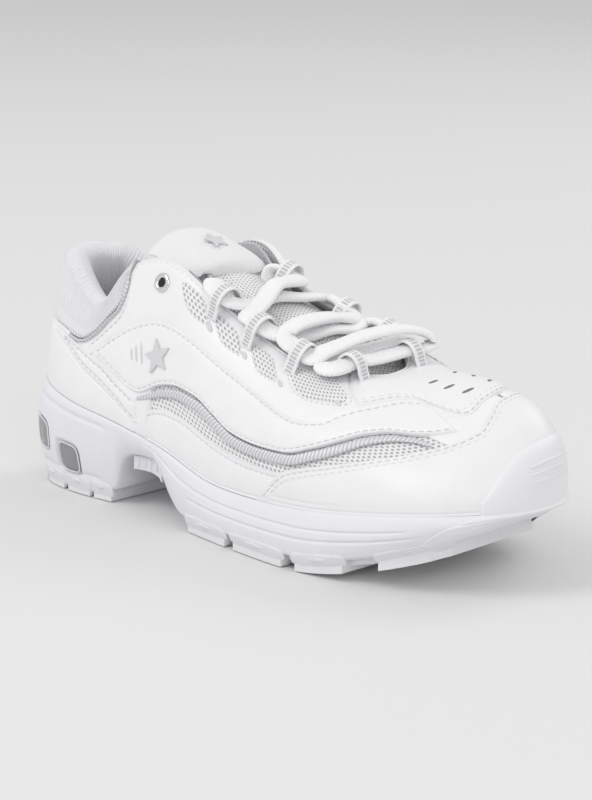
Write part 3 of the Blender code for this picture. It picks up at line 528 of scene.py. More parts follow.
LEATHER = leather_look("leather_white")
LEATHER_CAP = leather_look("leather_cap", (0.84, 0.84, 0.85))
MESH = mesh_look("air_mesh_open")
TONGUE_MESH = mesh_look("tongue_mesh", pitch=1.8)
COLLAR_KNIT = weave_look("collar_knit", (0.85, 0.85, 0.87), 0.8, 0.12)
PAD_CLOTH = weave_look("pad_cloth", (0.86, 0.86, 0.87), 0.7, 0.08)
# Mid grey on a white lining and sockliner: painted shade of the shoe's dark inside.
LINING_SHADED = weave_look("lining_shaded_cloth", (0.50, 0.50, 0.52), 1.0, 0.1)
FOAM = plain_look("midsole_foam", (0.80, 0.80, 0.835), 0.5, 0.5, 0.05)
RUBBER = plain_look("bumper_rubber_white", (0.83, 0.83, 0.85), 0.48, 0.5, 0.06)
TREAD = tread_look("outsole_rubber_white", (0.80, 0.80, 0.815))
SHANK = plain_look("shank_plastic_white", (0.74, 0.74, 0.78), 0.36, 1.0, 0.04, coat=0.1)
WINDOW = plain_look("window_smoked", (0.27, 0.27, 0.29), 0.35, 2.0, 0.1, coat=0.3)
FRAME_GREY = plain_look("window_frame", (0.72, 0.72, 0.75), 0.4, 0.6, 0.03)
CHROME = plain_look("eyelet_chrome", (0.78, 0.78, 0.80), 0.2, 3.0, 0.02, metallic=1.0)
# Near black for the inside of the eyelet holes: painted shade.
HOLE_SHADE = plain_look("hole_painted_shade", (0.012, 0.012, 0.013), 0.7, 1.0, 0.02)
# Dark grey for the vent slits: painted shade inside the cuts.
SLIT_SHADE = plain_look("slit_painted_shade", (0.20, 0.20, 0.21), 0.7, 1.0, 0.02)
THREAD = plain_look("stitch_thread", (0.78, 0.78, 0.80), 0.6, 0.3, 0.05)
DOT = plain_look("dot_grey", (0.66, 0.66, 0.68), 0.5, 0.6, 0.03)
EMBLEM = plain_look("emblem_grey", (0.66, 0.66, 0.68), 0.4, 0.6, 0.04)
BOARD = plain_look("board_brown", (0.62, 0.57, 0.50), 0.85, 0.8, 0.1)
TIP = plain_look("aglet_clear", (0.80, 0.80, 0.80), 0.22, 1.0, 0.02, coat=0.4)
LACE = lace_look()
WEBBING = webbing_look()
SILVER = cord_look("silver_cord", (0.74, 0.74, 0.76), 0.2)


# ---------------------------------------------------------------- meshes

def make_piece(name, points, faces, uv, look, sharp=40):
    """Object from points in table units, faces, and surface coordinates of each point."""
    mesh = bpy.data.meshes.new(name)
    mesh.from_pydata(world(points).tolist(), [], faces)
    mesh.update()
    if uv is not None:
        layer = mesh.uv_layers.new(name="mm")
        corner = np.empty(len(mesh.loops), int)
        mesh.loops.foreach_get("vertex_index", corner)
        layer.data.foreach_set("uv", np.asarray(uv, float)[corner].ravel())
    mesh.shade_smooth()
    mesh.set_sharp_from_angle(angle=math.radians(sharp))
    mesh.materials.append(look)
    made = bpy.data.objects.new(name, mesh)
    bpy.context.scene.collection.objects.link(made)
    return made


def grid_faces(rows, count, start=0, flip=False, wrap_rows=False, wrap=False):
    """Quads of a grid of rows x count points."""
    faces = []
    for i in range(rows if wrap_rows else rows - 1):
        here, there = start + i * count, start + ((i + 1) % rows) * count
        for k in range(count if wrap else count - 1):
            after = (k + 1) % count
            quad = (here + k, there + k, there + after, here + after)
            faces.append(quad[::-1] if flip else quad)
    return faces


def grid_uv(points):
    """Surface coordinates in mm of a grid of points, from the lengths of its middle lines."""
    rows, count = points.shape[:2]
    u = lengths(points[:, count // 2])[:, None] + np.zeros((1, count))
    v = np.concatenate([np.zeros((rows, 1)),
                        np.cumsum(np.linalg.norm(np.diff(points, axis=1), axis=2), axis=1)], 1)
    v = v - v[:, count // 2:count // 2 + 1]
    return np.stack([u, v], -1)


def closed_sheet(name, top, low, look):
    """Closed solid between two grids of the same shape, top facing out."""
    rows, count = top.shape[:2]
    size = rows * count
    uv = grid_uv(top)
    faces = grid_faces(rows, count) + grid_faces(rows, count, size, flip=True)
    rim = ([i * count for i in range(rows)] + [(rows - 1) * count + k for k in range(1, count)]
           + [i * count + count - 1 for i in range(rows - 2, -1, -1)]
           + list(range(count - 2, 0, -1)))
    for a, b in zip(rim, rim[1:] + rim[:1]):
        faces.append((a, b, b + size, a + size)[::-1])
    points = np.concatenate([top.reshape(-1, 3), low.reshape(-1, 3)])
    both = np.concatenate([uv.reshape(-1, 2)] * 2)
    return make_piece(name, points, faces, both, look)


def disk_solid(name, top, low, look, uv=None):
    """Closed solid between two grids of rings, the innermost ring first, top facing out."""
    rows, around = top.shape[:2]
    size = rows * around
    faces = grid_faces(rows, around, wrap=True) + grid_faces(rows, around, size, True, wrap=True)
    faces += [tuple(range(around)), tuple(range(size, size + around))[::-1]]
    rim = (rows - 1) * around
    for k in range(around):
        after = (k + 1) % around
        faces.append((rim + k, size + rim + k, size + rim + after, rim + after))
    points = np.concatenate([top.reshape(-1, 3), low.reshape(-1, 3)])
    return make_piece(name, points, faces, uv, look)


def rounded_rings(radii, power, count=64):
    """Radii as a column and a rounded outline, squarer for a smaller power."""
    angle = np.linspace(0, 2 * math.pi, count, endpoint=False)
    shape = [np.sign(f) * np.abs(f) ** power for f in (np.cos(angle), np.sin(angle))]
    return np.array(radii)[:, None], shape[0][None], shape[1][None]


def ring_solid(name, rings, look, uv=None, sharp=40, flip=True, caps=True):
    """Closed solid through rings of points."""
    rows, count = rings.shape[:2]
    faces = grid_faces(rows, count, flip=flip, wrap=True)
    if caps:
        ends = [tuple(range(count)), tuple(range((rows - 1) * count, rows * count))]
        faces += [ends[0][::-1], ends[1]] if flip else [ends[0], ends[1][::-1]]
    return make_piece(name, rings.reshape(-1, 3), faces, uv, look, sharp)


def sweep(name, path, normals, section, look, widths=None):
    """Solid of a section (across, out) moved along a path in table units."""
    tangent = unit(np.gradient(path, axis=0))
    side = unit(np.cross(tangent, normals))
    out = np.cross(side, tangent)
    section = np.asarray(section, float)
    width = np.ones(len(path)) if widths is None else np.asarray(widths)
    scale = width[:, None, None]
    points = (path[:, None] + side[:, None] * section[None, :, 0:1] * scale
              + out[:, None] * section[None, :, 1:2] * scale)
    rows, count = points.shape[:2]
    faces = grid_faces(rows, count, wrap=True)
    faces.append(tuple(range(count)))
    faces.append(tuple(range((rows - 1) * count, rows * count))[::-1])
    uv = np.stack([lengths(path)[:, None] + np.zeros((1, count)),
                   np.zeros((rows, 1)) + section[None, :, 0]], -1)
    return make_piece(name, points.reshape(-1, 3), faces, uv.reshape(-1, 2), look)


def oval(half_width, half_height, count=16, power=0.8):
    """Rounded section, squarer for a smaller power."""
    angle = np.linspace(0, 2 * math.pi, count, endpoint=False)
    shape = [np.sign(f) * np.abs(f) ** power for f in (np.cos(angle), np.sin(angle))]
    return np.stack([shape[0] * half_width, shape[1] * half_height], -1)


def round_tube(name, path, radius, look, widths=None):
    """Round cord along a path, with the turn round it as the second surface coordinate."""
    normals = np.tile(UP, (len(path), 1)) + 0.01
    made = sweep(name, path, normals, oval(radius, radius, 12, 1.0), look, widths)
    layer = made.data.uv_layers["mm"].data
    for loop, data in zip(made.data.loops, layer):
        data.uv.y = (loop.vertex_index % 12) * math.pi / 6
    return made


def finish_piece(piece, slot, *nodes, body="shoe"):
    """Puts a piece on its body and hides the CAD nodes that it stands for; the slot is not used."""
    if nodes:
        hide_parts(*nodes)
    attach(piece, body)
    return piece


# ---------------------------------------------------------------- stitches

THREADS = []


def stitch_line(points, normals, length=2.3, gap=1.1, radius=0.27):
    """Lays stitches along a line on the surface, kept until all are made as one mesh."""
    points, normals = np.asarray(points), np.asarray(normals)
    walked = lengths(points)
    count = int(walked[-1] // (length + gap))
    for k in range(count):
        middle = (k + 0.5) * walked[-1] / count
        ends = [np.array([np.interp(middle + side * length / 2, walked, points[:, c])
                          for c in range(3)]) for side in (-1, 1)]
        normal = np.array([np.interp(middle, walked, normals[:, c]) for c in range(3)])
        THREADS.append((ends[0], ends[1], unit(normal), radius))


def form_stitches(s, h, offset, **how):
    """Stitches along a line (s, h) of the upper."""
    stitch_line(skin(s, h, offset), form_normal(s, h), **how)


def make_stitches(name):
    """One mesh of all the stitches laid since the last one."""
    around = 6
    along = ((-0.5, 0.25), (-0.38, 0.85), (0.0, 1.0), (0.38, 0.85), (0.5, 0.25))
    points, faces = [], []
    for a, b, normal, radius in THREADS:
        way = b - a
        side = unit(np.cross(way, normal))
        start = len(points)
        for t, fat in along:
            sink = normal * radius * (0.35 - 1.4 * t * t * 2)
            for k in range(around):
                angle = 2 * math.pi * k / around
                points.append((a + b) / 2 + way * t + sink
                              + (side * math.cos(angle) + normal * math.sin(angle))
                              * radius * fat)
        faces += grid_faces(len(along), around, start, wrap=True)
        faces.append(tuple(range(start, start + around)))
        last = start + (len(along) - 1) * around
        faces.append(tuple(range(last, last + around))[::-1])
    THREADS.clear()
    return make_piece(name, np.array(points), faces, None, THREAD, 80)


# ---------------------------------------------------------------- panels of the upper

EDGE_MM = (0.0, 0.12, 0.35, 0.75, 1.3, 1.8, 2.3, 2.8, 3.6)   # rows near a panel's edge
MIDDLE_ROWS = 14
COLUMN_STEP = 0.08        # stations between two columns of a panel
ROUND_MM = 0.9            # reach of a panel's rounded edge
SEAM_DEPTH, SEAM_WIDTH = 0.22, 0.55
PUFF, PUFF_REACH = 0.25, 8
LEFT_OUT = 99.0           # further than any edge, for an end that isn't rounded


def panel(name, nodes, start, end, bottom, top, layer, look=LEATHER, seams=(), base=-0.5,
          round_end=True):
    """Leather panel between two seam lines, with rounded edges and pulled-in stitch lines."""
    s = np.linspace(start, end, int((end - start) / COLUMN_STEP) + 2)
    low, high = bottom(s), top(s)
    height = np.linalg.norm(np.diff(on_form(s[:, None], np.linspace(low, high, 12).T),
                                    axis=1), axis=2).sum(1)
    height = np.maximum(height, 0.6)
    near = np.array(EDGE_MM)
    middle = np.linspace(0, 1, MIDDLE_ROWS + 2)[1:-1]
    rows = []
    for tall in height:
        edge = near * min(1.0, tall * 0.4 / near[-1])
        rows.append(np.concatenate([edge, edge[-1] + (tall - 2 * edge[-1]) * middle,
                                    tall - edge[::-1]]))
    rows = np.array(rows)
    share = rows / height[:, None]
    h = low[:, None] + (high - low)[:, None] * share
    along = lengths(on_form(s, (low + high) / 2))[:, None]
    to_side = np.minimum(rows, height[:, None] - rows)
    to_end = np.minimum(LEFT_OUT, along + 0 * rows)
    if round_end:
        to_end = np.minimum(to_end, along[-1] - along)
    inset = np.minimum(to_side, to_end)
    rise = np.sqrt(1 - (1 - np.clip(inset / ROUND_MM, 0, 1)) ** 2)
    for seam in seams:
        rise = rise - SEAM_DEPTH * np.exp(-((inset - seam) / SEAM_WIDTH) ** 2)
    puff = PUFF * np.clip(inset / PUFF_REACH, 0, 1)
    offset = base + (layer - base) * rise + puff
    grid = skin(s[:, None] + 0 * h, h, offset)
    under = skin(s[:, None] + 0 * h, h, base - 0.25)
    return finish_piece(closed_sheet(name, grid, under, look), "leather", *nodes)


def side_panels(kind, start, end, bottom_table, top_table, layer, seam=1.9,
                stitch=("bottom", "top"), **more):
    """The same panel on both sides, with stitches along the seams."""
    for side in ("lateral", "medial"):
        first, last = sorted((mirrored(start, side), mirrored(end, side)))
        bottom, top = line_of(bottom_table), line_of(top_table)
        name = "%s_%s" % (kind, side)
        panel(name + "_skin", (name,), first, last, bottom, top, layer, seams=(seam,), **more)
        for edge in stitch:
            seam_stitches(first, last, bottom, top, edge, seam, layer)


SEAM_TRIM = 0.12          # stations without stitches at each end of a seam


def seam_stitches(first, last, bottom, top, edge, inset, layer):
    """Stitches at a distance in mm inside one edge of a panel."""
    s = np.linspace(first + SEAM_TRIM, last - SEAM_TRIM, int((last - first) * 14) + 4)
    low, high = bottom(s), top(s)
    step = (high - low) * 0.02 + 1e-6
    at, toward = (low, low + step) if edge == "bottom" else (high, high - step)
    per_mm = step / np.linalg.norm(on_form(s, toward) - on_form(s, at), axis=1)
    sign = 1 if edge == "bottom" else -1
    room = (high - low) / per_mm
    keep = room > 2 * inset
    if keep.sum() < 4:
        return
    h = at + sign * per_mm * inset
    form_stitches(s[keep], h[keep], layer - 0.05)


# Edges of the visible leather where one panel lies over the next.
SIDE_EDGE = (*SIDE_TOP[:-1], (9, .215), (9.9, .255))
CAP_EDGE = ((8.55, .0), (8.8, .08), (9.1, .17), *TOE_CAP_TOP[1:])
UNDERLAY_BOTTOM = ((0.5, .45), (1.9, .44), (2.6, .42), (3.2, .34), (3.8, .24), (4.4, .10),
                   (4.7, -.05), (5.25, -.05), (5.45, .30),
                   *((s, h + .03) for s, h in QUARTER_BOTTOM[5:-1]), (13.4, .36), (15, .40))
UNDERLAY_TOP = (*((s, h + .004) for s, h in COLLAR_LINE), (5.05, .955), (15, .955))
UNDERLAY_LAYER = 0.35
DOUBLE_SEAM = (1.9, 4.2)  # distances in mm of two rows of stitches from the edge


def upper_panels():
    """Leather panels of the upper, from the foot up."""
    foot = level(0.0)
    panel("heel_cover_skin", ("heel_cover",), -4.9, 4.9, foot, line_of(STRAP_BOTTOM),
          LEATHER_LAYER)
    raised = tuple((s, h + 0.02) for s, h in STRAP_BOTTOM)
    side_panels("heel_strap", 1.95, 5.0, raised, STRAP_TOP, STRAP_LAYER, 1.5)
    quarter_edge = tuple((s, h + 0.012) for s, h in QUARTER_TOP)
    side_panels("quarter", 3.4, 13.65, QUARTER_BOTTOM, quarter_edge, LEATHER_LAYER + 0.4,
                base=0.2)
    eyestay_foot = tuple((s, h - 0.045) for s, h in EYESTAY_BOTTOM)
    side_panels("eyestay", 3.15, 12.0, eyestay_foot, EYESTAY_TOP, LEATHER_LAYER,
                stitch=("top",), round_end=False)
    side_panels("side_panel", 5.2, 9.9, ((0, 0.0), (15, 0.0)), SIDE_EDGE, LEATHER_LAYER,
                stitch=("top",))
    for side in ("lateral", "medial"):
        ends = sorted((mirrored(0.6, side), mirrored(14.97, side)))
        panel("underlay_" + side, (), *ends, line_of(UNDERLAY_BOTTOM), line_of(UNDERLAY_TOP),
              UNDERLAY_LAYER)
    panel("vamp_saddle_skin", ("vamp_saddle",), 12.05, 17.95, line_of(SADDLE_BOTTOM),
          level(0.965), LEATHER_LAYER, seams=DOUBLE_SEAM)
    cap_top = line_of(CAP_EDGE)
    panel("toe_cap_skin", ("toe_cap",), 8.55, 21.45, foot, cap_top, LEATHER_LAYER + 0.5,
          LEATHER_CAP, DOUBLE_SEAM, base=0.2)
    for inset in DOUBLE_SEAM:
        seam_stitches(12.05, 17.95, line_of(SADDLE_BOTTOM), level(0.965), "bottom", inset,
                      LEATHER_LAYER)
        seam_stitches(8.6, 21.4, foot, cap_top, "top", inset, LEATHER_LAYER + 0.5)
    finish_piece(make_stitches("upper_stitches"), "lace")


def mesh_bases():
    """Knitted mesh under the leather, open in the windows along the wave."""
    for side in ("lateral", "medial"):
        first, last = sorted((mirrored(5.0, side), mirrored(14.97, side)))
        s = np.linspace(first, last, 130)[:, None]
        h = np.linspace(0.01, 0.955, 70)[None, :]
        top = skin(s, h, MESH_LAYER + 0.35)
        low = skin(s, h, MESH_LAYER - 0.6)
        finish_piece(closed_sheet("mesh_base_%s_skin" % side, top, low, MESH), "air_mesh",
                     "mesh_base_" + side)


# Openings in the eyestay that show the mesh: station, height, half sizes in stations and height.
MESH_SLOTS = ((7.15, 0.825, 0.33, 0.060), (8.1, 0.80, 0.30, 0.060), (9.2, 0.785, 0.34, 0.070))
FRONT_WINDOW = (10.95, 0.785, 0.85, 0.105)


def patch(name, s0, h0, half_s, half_h, offset, look, slot, dome=0.0, lean=0.0, count=22,
          power=0.55):
    """Rounded patch laid on the upper, as a closed solid."""
    radii, x, y = rounded_rings((0.04, 0.35, 0.65, 0.85, 0.95, 1.0), power, 4 * count)
    s, h = s0 + half_s * radii * x + lean * radii * y, h0 + half_h * radii * y
    height = offset + dome * np.sqrt(np.clip(1 - radii ** 2, 0, 1)) + 0 * s
    uv = np.concatenate([np.stack([s * 20, h * 75], -1).reshape(-1, 2)] * 2)
    made = disk_solid(name, skin(s, h, height), skin(s, h, offset - 0.8), look, uv)
    rim_s = s0 + half_s * 1.12 * x[0] + lean * 1.12 * y[0]
    rim_h = h0 + half_h * 1.14 * y[0]
    closed = np.append(np.arange(len(rim_s)), 0)
    return finish_piece(made, slot), rim_s[closed], rim_h[closed]


def eyestay_details():
    """Mesh windows, dots and vent slits."""
    for side in ("lateral", "medial"):
        sign = 1 if side == "lateral" else -1
        for k, (s, h, half_s, half_h) in enumerate((*MESH_SLOTS, FRONT_WINDOW), 1):
            _, rim_s, rim_h = patch("mesh_window_%s_%d" % (side, k), mirrored(s, side), h,
                                    sign * half_s, half_h, LEATHER_LAYER + 0.62, MESH,
                                    "air_mesh", lean=sign * -0.12)
            form_stitches(rim_s, rim_h, LEATHER_LAYER + 0.38, length=1.7, gap=0.9)
        for k, (s, h) in enumerate(((7.6, .765), (8.6, .755), (9.75, .715), (11.5, .68)), 1):
            patch("dot_%s_%d" % (side, k), mirrored(s, side), h, 0.075, 0.021,
                  LEATHER_LAYER + 0.55, DOT, "emblem", dome=0.25, power=1.0, count=8)
        # The vent slits are flat dark patches laid on the leather: painted shade inside the cuts.
        for k, (s, h) in enumerate(((14.5, .745), (14.5, .665), (14.6, .59)), 1):
            patch("vent_slit_%s_%d" % (side, k), mirrored(s, side), h, 0.15, 0.008,
                  LEATHER_LAYER + 0.30, SLIT_SHADE, "piping", count=8, power=0.8)
    finish_piece(make_stitches("window_stitches"), "lace")


def eyelets():
    """Turned metal rings in the eyestays, with a near-black disc in each hole as painted shade."""
    profile = ((2.0, -0.6), (2.05, 0.35), (2.3, 0.85), (2.9, 1.15), (3.6, 1.1), (4.15, 0.75),
               (4.35, 0.3), (4.35, -0.6))
    around = 48
    for side in ("lateral", "medial"):
        s, h = mirrored(6.0, side), 0.81
        centre, normal = skin(s, h, LEATHER_LAYER + 0.4), form_normal(s, h)
        across = unit(np.cross(normal, UP))
        up = np.cross(across, normal)
        for name, shape, look, slot, nodes in (
                ("eyelet_ring_" + side, profile, CHROME, "eyelet_metal", ("eyelet_" + side,)),
                # A near-black disc fills the hole: painted shade of the shoe's inside.
                ("eyelet_hole_shade_" + side, ((0.05, 0.2), (2.1, 0.2), (2.1, -0.5), (0.05, -0.5)),
                 HOLE_SHADE, "piping", ())):
            points = []
            for k in range(around):
                angle = 2 * math.pi * k / around
                spoke = across * math.cos(angle) + up * math.sin(angle)
                points += [centre + spoke * r + normal * z for r, z in shape]
            faces = grid_faces(around, len(shape), wrap_rows=True, wrap=True)
            finish_piece(make_piece(name, np.array(points), faces, None, look), slot, *nodes)


def pipings():
    """Silver cord round the collar's edge, and the tapered wave on each side."""
    line = line_of(COLLAR_LINE)
    for side in ("lateral", "medial"):
        for k, lift in enumerate((-0.012, 0.022)):
            s = mirrored(np.linspace(2.5, 4.78, 80), side)
            path = skin(s, line(s) + lift, 0.9)
            nodes = ("collar_piping_" + side,) if k == 0 else ()
            finish_piece(round_tube("collar_cord_%s_%d" % (side, k + 1), path, 0.75, SILVER),
                         "piping", *nodes)
        table = np.array(WAVE_LINE)
        s = np.linspace(table[0, 0], table[-1, 0], 220)
        h = smooth_line(WAVE_LINE)(s)
        at = mirrored(s, side)
        t = np.linspace(0, 1, len(s))
        width = 0.35 + 0.65 * np.clip(np.minimum(t * 5, (1 - t) * 4), 0, 1) ** 0.7
        band = sweep("wave_band_" + side, skin(at, h, 0.75), form_normal(at, h),
                     oval(2.1, 1.1, 14, 0.8), SILVER, width)
        finish_piece(band, "piping", "wave_piping_" + side)


# ---------------------------------------------------------------- collar and tongue

def collar_rings(stations):
    """Sections of the padded collar, as the CAD has them."""
    line = smooth_line(COLLAR_LINE)
    rings = []
    for s in stations:
        row, out = station(s)
        low = line(fold(s)) + 0.012
        rim = row[3:6]
        plump = min(1.0, (4.95 - fold(s)) / 1.2)
        depth = 5.0 + 7.5 * plump
        heights = low + (0.93 - low) * np.linspace(0, 1, 5)
        ring = list(skin(s, heights, 0.3 + 1.1 * np.array((0.0, 0.6, 1.0, 0.8, 0.2)) * plump))
        ring += [rim - out * 1.2 - UP * 0.6, rim - out * (0.45 * depth) + UP * 1.4 * plump,
                 rim - out * (0.85 * depth) - UP * 1.6]
        ring += [skin(s, 0.9, -depth - 0.5), skin(s, 0.9 - (0.9 - low) * 0.4, -depth),
                 skin(s, 0.9 - (0.9 - low) * 0.75, -3.0 - 0.6 * depth),
                 skin(s, low + 0.01, -2.5 - 0.35 * depth)]
        rings.append(ring)
    return np.array(rings, float)


def refine(values, count, closed):
    """Smooth curve through the rows of values, read at a number of even steps."""
    n = len(values)
    if closed:
        slopes = (np.roll(values, -1, 0) - np.roll(values, 1, 0)) / 2
        t = np.linspace(0, n, count, endpoint=False)
    else:
        slopes = np.gradient(values, axis=0)
        t = np.linspace(0, n - 1, count)
    i = np.minimum(t.astype(int), n - 1 if closed else n - 2)
    j = (i + 1) % n
    f = (t - i).reshape((-1,) + (1,) * (values.ndim - 1))
    return hermite(values[i], values[j], slopes[i], slopes[j], f)


RIB_PITCH = 2.3


def collar():
    """Ribbed, padded textile collar."""
    rings = collar_rings(np.linspace(-4.78, 4.78, 60))
    rings = refine(rings, 560, closed=False)
    rings = refine(rings.transpose(1, 0, 2), 52, closed=True).transpose(1, 0, 2)
    middle = rings.mean(1, keepdims=True)
    outward = unit(rings - middle)
    walked = lengths(rings[:, 8])[:, None]
    fade = np.clip(np.minimum(walked, walked[-1] - walked) / 4, 0, 1)
    rib = np.abs(np.sin(math.pi * walked / RIB_PITCH)) ** 0.7
    rings = rings + outward * ((rib - 0.8) * 0.5 * fade)[..., None]
    rows, count = rings.shape[:2]
    uv = np.stack([walked + np.zeros((1, count)),
                   np.zeros((rows, 1)) + np.linspace(0, 75, count)[None]], -1)
    made = ring_solid("collar_ribbed", rings, COLLAR_KNIT, uv.reshape(-1, 2), 70)
    finish_piece(made, "collar_textile", "collar_pad")


# The visible tongue runs a little farther under the lace and under the pad than the CAD one.
TONGUE_FRONT = ((13.7, .95, 10.0, -4.0), (12.8, .93, 10.0, -3.0), (12.2, .91, 9.8, -1.8))
TONGUE_BACK = ((6.85, .97, 15.5, 1.2),)


def tongue_lower():
    """Mesh part of the tongue under the lace, with a bound top edge."""
    sections = []
    for s, h, inset, crown in (*TONGUE_FRONT, *TONGUE[2:], *TONGUE_BACK):
        inset = inset - 4.5
        a, b = skin(s, h, -inset), skin(TURN - s, h, -inset)
        rim = (station(s)[0][3:6] + station(TURN - s)[0][3:6]) / 2
        middle = (a + b) / 2
        middle[2] = rim[2] + crown - 3.2
        control = 2 * middle - (a + b) / 2
        t = np.linspace(0, 1, 41)[:, None]
        sections.append((1 - t) ** 2 * a + 2 * t * (1 - t) * control + t * t * b)
    top = refine(np.array(sections), 110, closed=False)
    made = closed_sheet("tongue_mesh_panel", top[::-1], (top - UP * 3.6)[::-1], TONGUE_MESH)
    finish_piece(made, "air_mesh", "tongue_lower")
    edge = even_points((top[-1] + UP * 0.4)[2:-2:4], 0.8)
    binding = sweep("tongue_binding", edge, np.tile(UP, (len(edge), 1)), oval(1.5, 1.0, 12),
                    PAD_CLOTH)
    finish_piece(binding, "tongue_textile")
    spine = top[8:-6, 20] + UP * 0.35
    for shift in (-8.5, 8.5):
        stitch_line(spine + np.array((0, shift, -0.9)), np.tile(UP, (len(spine), 1)))


def inflate(source, voxel, pressure, cap):
    """Puffed copy of a closed shape: remeshed, blown up by cloth, capped and smoothed."""
    mesh = source.data.copy()
    start = bpy.data.objects.new(source.name + "_blown", mesh)
    bpy.context.scene.collection.objects.link(start)
    bpy.context.view_layer.objects.active = start
    remesh = start.modifiers.new("remesh", "REMESH")
    remesh.mode = "VOXEL"
    remesh.voxel_size = voxel * MM
    apply_modifier(start, remesh)
    before = np.array([v.co for v in start.data.vertices])
    cloth = start.modifiers.new("cloth", "CLOTH")
    cloth.settings.use_pressure = True
    cloth.settings.uniform_pressure_force = pressure
    cloth.settings.effector_weights.gravity = 0.0
    cloth.settings.quality = 5
    for step in range(1, 21):
        bpy.context.scene.frame_set(step)
    apply_modifier(start, cloth)
    bpy.context.scene.frame_set(1)
    after = np.array([v.co for v in start.data.vertices])
    move = after - before
    far = np.linalg.norm(move, axis=1, keepdims=True)
    limit = cap * MM
    move = move * np.minimum(1.0, limit / np.maximum(far, 1e-9))
    start.data.vertices.foreach_set("co", (before + move).ravel())
    start.data.update()
    smooth = start.modifiers.new("smooth", "SMOOTH")
    smooth.iterations = 4
    apply_modifier(start, smooth)
    divide = start.modifiers.new("divide", "SUBSURF")
    divide.levels = divide.render_levels = 1
    apply_modifier(start, divide)
    return start


def apply_modifier(piece, modifier):
    """Bakes one modifier into the piece's mesh."""
    graph = bpy.context.evaluated_depsgraph_get()
    graph.update()
    shaped = bpy.data.meshes.new_from_object(piece.evaluated_get(graph))
    name = modifier.name
    piece.modifiers.remove(piece.modifiers[name])
    piece.data = shaped


def plan_uv(piece):
    """Surface coordinates in mm from above, for cloth whose mesh was rebuilt."""
    mesh = piece.data
    for layer in list(mesh.uv_layers):
        mesh.uv_layers.remove(layer)
    layer = mesh.uv_layers.new(name="mm")
    place = np.empty(len(mesh.vertices) * 3)
    mesh.vertices.foreach_get("co", place)
    corner = np.empty(len(mesh.loops), int)
    mesh.loops.foreach_get("vertex_index", corner)
    layer.data.foreach_set("uv", (place.reshape(-1, 3)[corner][:, :2] / MM).ravel())


PAD_SKEW = 4.0
PAD_MIDDLE_Y = 2.0
FLANK_OUT = 7.0           # how far the pad's soft sides reach past its CAD solid
FLANK_DROP = 6.5


def tongue_pad():
    """Padded top of the tongue with soft sides that tuck into the shoe, blown up by cloth."""
    rows = refine(np.array(TONGUE_PAD, float), 40, closed=False)
    angle = np.linspace(0, 2 * math.pi, 72, endpoint=False)
    across = np.sign(np.cos(angle)) * np.abs(np.cos(angle)) ** 0.8
    half_up = np.sign(np.sin(angle)) * np.abs(np.sin(angle)) ** 0.8 / 2
    rings = []
    for x, half, z_middle, z_edge, thick, thin in rows:
        wide = half + FLANK_OUT * np.clip((103.0 - x) / 8, 0, 1)
        ratio = np.abs(across) * wide / half
        body = thin * 0.8 + (thick - thin * 0.8) * np.clip(1 - ratio ** 2.4, 0, 1)
        body = body * np.clip(4.5 * (1 - np.abs(across)) + 0.5, 0, 1)
        drop = (z_middle - thick / 2 - (z_edge - thin / 2)) * np.minimum(ratio, 1) ** 2
        past = np.clip((ratio - 0.85) / (wide / half - 0.85 + 1e-6), 0, 1)
        drop = drop + FLANK_DROP * past ** 1.5
        centre = z_middle - thick / 2 - drop
        y = PAD_MIDDLE_Y + across * wide
        rings.append(np.stack([x + PAD_SKEW * across * wide / half, y,
                               centre + half_up * body], -1))
    cage = ring_solid("tongue_pad_cage", np.array(rings), PAD_CLOTH, flip=False)
    outward_faces(cage)
    made = inflate(cage, 1.3, 3.0, 1.0)
    bpy.data.objects.remove(cage)
    made.name = made.data.name = "tongue_pad_puffed"
    made.data.materials.clear()
    made.data.materials.append(PAD_CLOTH)
    made.data.shade_smooth()
    plan_uv(made)
    finish_piece(made, "tongue_textile", "tongue_pad", body="tongue")


def outward_faces(piece):
    """Turns all faces of a closed mesh to point out."""
    work = bmesh.new()
    work.from_mesh(piece.data)
    bmesh.ops.recalc_face_normals(work, faces=work.faces)
    work.to_mesh(piece.data)
    work.free()


def emblems():
    """Generic stars with three bars beside them, on both sides and on the tongue."""
    for node in ("quarter_emblem_lateral", "quarter_emblem_medial", "tongue_emblem"):
        relook(node, EMBLEM, 0.25)
    for side in ("lateral", "medial"):
        for k, (s, h, tall) in enumerate(((5.30, .465, .052), (5.12, .462, .040),
                                          (4.96, .458, .028)), 1):
            patch("emblem_bar_%s_%d" % (side, k), mirrored(s, side), h, 0.045, tall,
                  LEATHER_LAYER + 0.6, EMBLEM, "emblem", dome=0.2, count=8, power=0.7)


def relook(node, look, width=None):
    """Gives a CAD piece a better material, and soft edges if a width is given."""
    piece = frame["nodes"][node]
    piece.data.materials.clear()
    piece.data.materials.append(look)
    if width:
        soften(piece, width)


def soften(piece, width):
    """Rounds the edges of a CAD piece by a width in millimetres."""
    bevel = piece.modifiers.new("soft_edges", "BEVEL")
    bevel.width = width * MM
    bevel.segments = 3
    bevel.limit_method = "ANGLE"
    bevel.angle_limit = math.radians(40)


# ---------------------------------------------------------------- loops and lace

